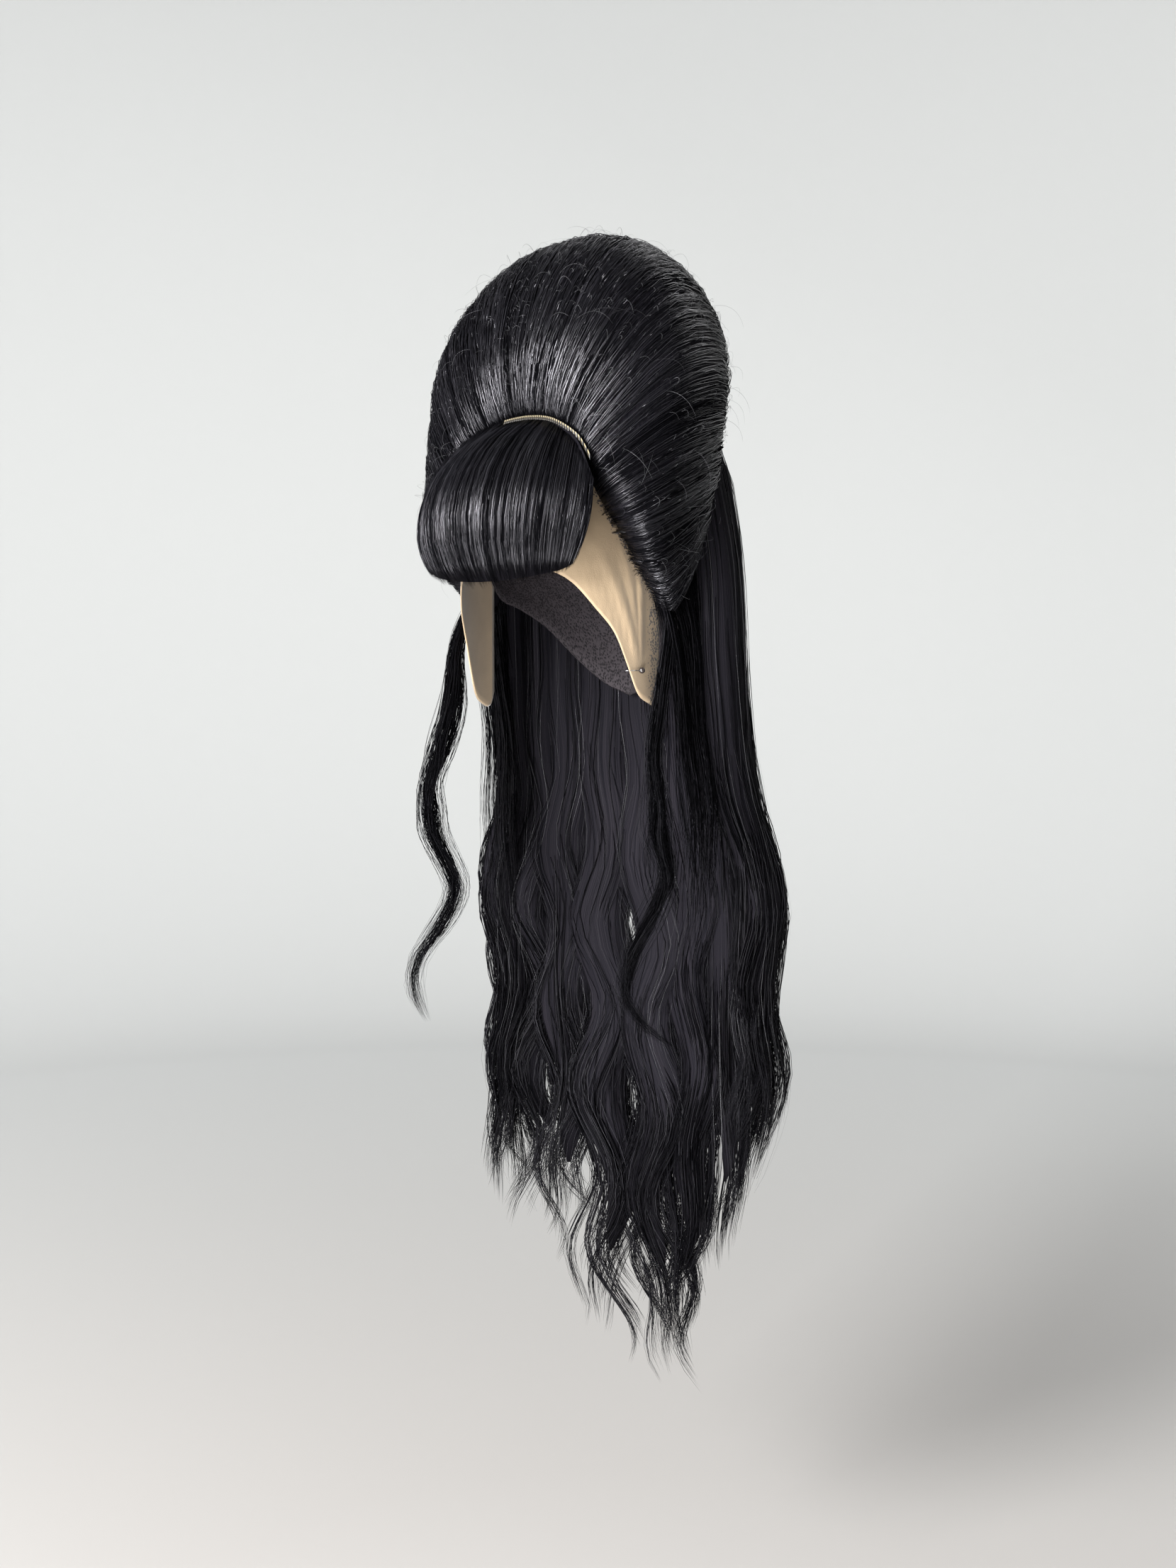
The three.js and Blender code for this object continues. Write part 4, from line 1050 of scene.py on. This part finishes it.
SIDE_RIGHT = [
    (0.203, -1.01, -0.12, 0.42, 0.42), (0.266, -1.09, -0.25, 0.5, 0.42), (0.327, -1.11, -0.38, 0.83, 0.67),
    (0.428, -1.09, -0.44, 1.33, 0.83), (0.517, -1.2, -0.49, 0.92, 0.83), (0.578, -1.33, -0.52, 0.58, 0.75),
    (0.608, -1.32, -0.51, 0.71, 0.75), (0.654, -1.28, -0.5, 0.58, 0.75), (0.717, -1.09, -0.46, 0.71, 0.75),
    (0.755, -1.05, -0.45, 0.54, 0.67), (0.819, -1.23, -0.48, 0.58, 0.67), (0.869, -1.44, -0.53, 0.5, 0.58),
    (0.914, -1.51, -0.55, 0.42, 0.5), (0.951, -1.46, -0.53, 0.38, 0.42), (0.983, -1.35, -0.51, 0.12, 0.17),
]


def side_hair(name, rows, seed):
    rng = np.random.default_rng(seed)
    count, steps = SIDE_STRANDS, 21
    side = 1 if rows[0][1] > 0 else -1
    root = np.array([rows[0][1] * HEAD_WIDTH, rows[0][2] * HEAD_LENGTH, 0])
    out = root / np.linalg.norm(root)
    across = np.array([-out[1], out[0], 0])
    tip = rows[-1][0]
    last = tip * (1 - 0.4 * rng.random(count) ** 2)
    first = rows[0][0] + (tip - rows[0][0]) * 0.4 * rng.random(count) ** 4
    down = first[:, None] + (last - first)[:, None] * np.linspace(0, 1, steps)
    x, y, wide, deep = (along(rows, down, column) for column in (1, 2, 3, 4))
    centre = np.stack([x * HEAD_WIDTH / 2, y * HEAD_LENGTH / 2, -down * SIDE_DROP], -1)
    group = rng.integers(0, 6, count)
    angle = (group * np.pi / 3 + rng.normal(0, 0.5, count))[:, None]
    gone = (down - rows[0][0]) / (tip - rows[0][0])
    loose = np.clip((gone - 0.2) / 0.3, 0, 1)
    radius = np.sqrt(rng.random(count))[:, None] * (1 + 1.3 * loose * (rng.random(count) < 0.28)[:, None])
    swing = 0.0014 * np.sin(down * 38 + group[:, None] * 1.7) * loose
    fan = ROOT_FAN * rng.uniform(0, 1, count)[:, None] * np.clip(1 - gone / 0.25, 0, 1) ** 1.5
    fan = side * (fan + ROOT_BACK * np.clip(1 - gone / 0.4, 0, 1) ** 0.7)
    aside = wide * SIDE_WIDTH / 2 * np.cos(angle) * radius + swing + fan
    aside = aside + waver(rng, count, steps, 0.0012, 3)
    outward = deep * SIDE_DEPTH / 2 * np.sin(angle) * radius + swing + waver(rng, count, steps, 0.001, 3)
    paths = centre + across * aside[..., None] + out * outward[..., None]
    facing = np.broadcast_to(across * np.cos(angle)[..., None] + out * np.sin(angle)[..., None], paths.shape)
    paths = off_head(paths, HAIR_SEAT + 0.001)
    tone = 0.7 * rng.random(count) ** 2
    return comb(name, paths, facing, rng.uniform(*SIDE_STRAND, count), tone)


wear(side_hair("side_lock_left_hair", SIDE_LEFT, 51), fall_shaded_black, "hair", "side_lock_left")
wear(side_hair("side_lock_right_hair", SIDE_RIGHT, 52), fall_shaded_black, "hair", "side_lock_right")


# Stray hairs: short frizz that stands off the combed crown and temples, and long single hairs that have
# come loose from it and from the fall. They are the same hair, too fine to be solids, with a painted sheen.
FRIZZ_COUNT = 800
FRIZZ_LENGTH = (0.003, 0.012)
FRIZZ_BEND = 3.2
LOOSE_ENDS = 260
STRAYS_BY_LOCK = 30
STRAY = (0.00008, 0.00014)

# Painted sheen: the stray hairs are a lighter grey copy of the black hair, for the light they catch.
stray_painted_sheen = hair_finish(
    "stray hairs", (0.008, 0.008, 0.009), (0.045, 0.045, 0.047), 0.3, dull=0.2, glossy=0.7,
)


def frizz(rng, count, steps):
    """Little hooks and curls that lie a few millimetres off the hair."""
    turn = rng.uniform(-125, 125, count)
    tilt = along(HAIR_EDGE, abs(turn)) * (1 - rng.uniform(0.02, 0.85, count))
    base = on_ray(turn, tilt, hair_reach(turn, tilt) + 0.0006)
    out = ray(turn, tilt)
    level = np.cross(out, [0, 0, 1])
    level /= np.linalg.norm(level, axis=-1, keepdims=True)
    up = np.cross(level, out)
    heading = rng.normal(0.6, 0.7, count)
    ahead = up * np.sin(heading)[:, None] - level * np.cos(heading)[:, None] * np.sign(turn)[:, None]
    aside = np.cross(out, ahead)
    s = np.linspace(0, 1, steps)
    long = rng.uniform(*FRIZZ_LENGTH, count)[:, None]
    bend = rng.normal(0, FRIZZ_BEND, count)[:, None]
    lift = rng.uniform(0.0005, 0.0035, count)[:, None] * np.sin(np.pi * np.clip(s * 1.2, 0, 1))
    forward = long * np.sin(bend * s + 1e-6) / (bend + 1e-6)
    turned = long * (1 - np.cos(bend * s)) / (bend + 1e-6)
    paths = (
        base[:, None] + ahead[:, None] * forward[..., None] + aside[:, None] * turned[..., None]
        + out[:, None] * lift[..., None]
    )
    return paths, np.broadcast_to(out[:, None], paths.shape)


def loose_ends(rng, count, steps):
    """Longer hairs that bow away from the crown."""
    turn = rng.uniform(-180, 180, count)
    tilt = along(HAIR_EDGE, abs(turn)) * (1 - rng.uniform(0.05, 0.95, count))
    base = on_ray(turn, tilt, hair_reach(turn, tilt))
    out = ray(turn, tilt)
    level = rng.normal(0, 1, (count, 3))
    level -= out * (level * out).sum(-1, keepdims=True)
    level /= np.linalg.norm(level, axis=-1, keepdims=True)
    s = np.linspace(0, 1, steps)
    rise = rng.uniform(0.002, 0.01, count)[:, None] * np.sin(np.pi * s) ** 0.8
    far = rng.uniform(0.01, 0.035, count)[:, None] * s
    paths = base[:, None] + out[:, None] * rise[..., None] + level[:, None] * far[..., None]
    return paths, np.broadcast_to(out[:, None], paths.shape)


def fall_strays(rng, count, steps):
    """Single hairs that hang a little apart from the fall."""
    paths, facing = [], []
    for lock in (lock for word in ("left", "back", "right") for lock in LOCKS[word]):
        first = rng.uniform(0.02, 0.6, count)
        down = first[:, None] + rng.uniform(0.12, 0.3, count)[:, None] * np.linspace(0, 1, steps)
        down = np.minimum(down, lock[1])
        centre, across, out, wide, deep = lock_course(lock, down)
        apart = 1 + rng.uniform(0.05, 0.25, count)[:, None] * np.sin(np.pi * np.linspace(0, 1, steps))
        angle = rng.uniform(0, 2 * np.pi, count)[:, None] + 0 * down
        u, v = np.cos(angle) * apart, np.sin(angle) * apart
        paths.append(centre + across * (u * wide / 2)[..., None] + out * (v * deep / 2)[..., None])
        facing.append(across * u[..., None] + out * v[..., None])
    return off_head(np.concatenate(paths), HAIR_SEAT + 0.001), np.concatenate(facing)


def stray_hairs():
    rng = np.random.default_rng(61)
    steps = 9
    groups = [
        frizz(rng, FRIZZ_COUNT, steps),
        loose_ends(rng, LOOSE_ENDS, steps),
        fall_strays(rng, STRAYS_BY_LOCK, steps),
    ]
    paths, out = (np.concatenate(part) for part in zip(*groups))
    count = len(paths)
    return comb("stray_hairs", paths, out, rng.uniform(*STRAY, count), rng.random(count))


wear(stray_hairs(), stray_painted_sheen, "hair")


# Room: a plain pale floor that curves up into a round wall, with painted shade that makes it darker
# underfoot.
# A tall soft light stands in front, with weak ones low in front, close below, and above and behind.
FLOOR_LEVEL = -1.02
FLOOR_REACH = 2.8
WALL_BEND = 1.4
WALL_TOP = 3.2
NEAR_FLOOR = 1.1
FAR_FLOOR = 2.9


def backdrop():
    bend = np.radians(np.linspace(0, 90, 14))
    radius = np.concatenate([[0.01, 1.5], FLOOR_REACH + WALL_BEND * np.sin(bend), [FLOOR_REACH + WALL_BEND]])
    height = np.concatenate([[0, 0], WALL_BEND * (1 - np.cos(bend)), [WALL_TOP]]) + FLOOR_LEVEL
    around = np.radians(np.arange(0, 360, 5))
    rings = np.stack([radius[:, None] * np.cos(around), radius[:, None] * np.sin(around),
                      height[:, None] + 0 * around], -1)
    n = len(around)
    faces = [
        (i * n + j, i * n + (j + 1) % n, (i + 1) * n + (j + 1) % n, (i + 1) * n + j)
        for i in range(len(radius) - 1) for j in range(n)
    ]
    faces.append(tuple(range(n))[::-1])
    mesh = bpy.data.meshes.new("backdrop")
    mesh.from_pydata(rings.reshape(-1, 3).tolist(), [], faces)
    for face in mesh.polygons:
        face.use_smooth = True
    piece = bpy.data.objects.new("backdrop", mesh)
    scene.collection.objects.link(piece)
    return piece


wall = backdrop()
wall_finish, wall_shader = new_finish("pale wall", 0.9)
ground = node(wall_finish, "ShaderNodeNewGeometry")
away = node(wall_finish, "ShaderNodeVectorMath")
away.operation = "LENGTH"
far = node(wall_finish, "ShaderNodeMapRange", From_Min=NEAR_FLOOR, From_Max=FAR_FLOOR)
wall_links = wall_finish.node_tree.links
wall_links.new(ground.outputs["Position"], away.inputs["Vector"])
wall_links.new(away.outputs["Value"], far.inputs["Value"])
# Painted shade: the floor is painted darker near the middle, under the wig, and lighter out towards the
# wall.
floor_painted_shade = ramp(wall_finish, far.outputs["Result"], 0, 1, (0.25, 0.24, 0.23), (0.42, 0.425, 0.42))
wall_links.new(floor_painted_shade, wall_shader.inputs["Base Color"])
wall.data.materials.append(wall_finish)

world = bpy.data.worlds.new("room")
scene.world = world
world.use_nodes = True
world.node_tree.nodes["Background"].inputs["Color"].default_value = (0.97, 0.98, 1, 1)
world.node_tree.nodes["Background"].inputs["Strength"].default_value = 0.3
scene.view_settings.view_transform = "Standard"


def soft_light(name, turn, rise, away, wide, tall, power):
    lamp = bpy.data.objects.new(name, bpy.data.lights.new(name, "AREA"))
    lamp.data.shape = "RECTANGLE"
    lamp.data.size = wide
    lamp.data.size_y = tall
    lamp.visible_camera = False
    lamp.data.energy = power
    turn, rise = math.radians(turn), math.radians(rise)
    back = Vector((math.sin(turn) * math.cos(rise), -math.cos(turn) * math.cos(rise), math.sin(rise)))
    lamp.location = back * away
    lamp.rotation_euler = back.to_track_quat("Z", "Y").to_euler()
    scene.collection.objects.link(lamp)


soft_light("window", -8, 18, 3.2, 1.5, 2.2, 580)
soft_light("low fill", 0, -12, 2.8, 1.6, 0.6, 60)
soft_light("bounce", 12, -38, 1.3, 1, 0.6, 34)
soft_light("overhead", 160, 48, 3, 2, 1.6, 42)
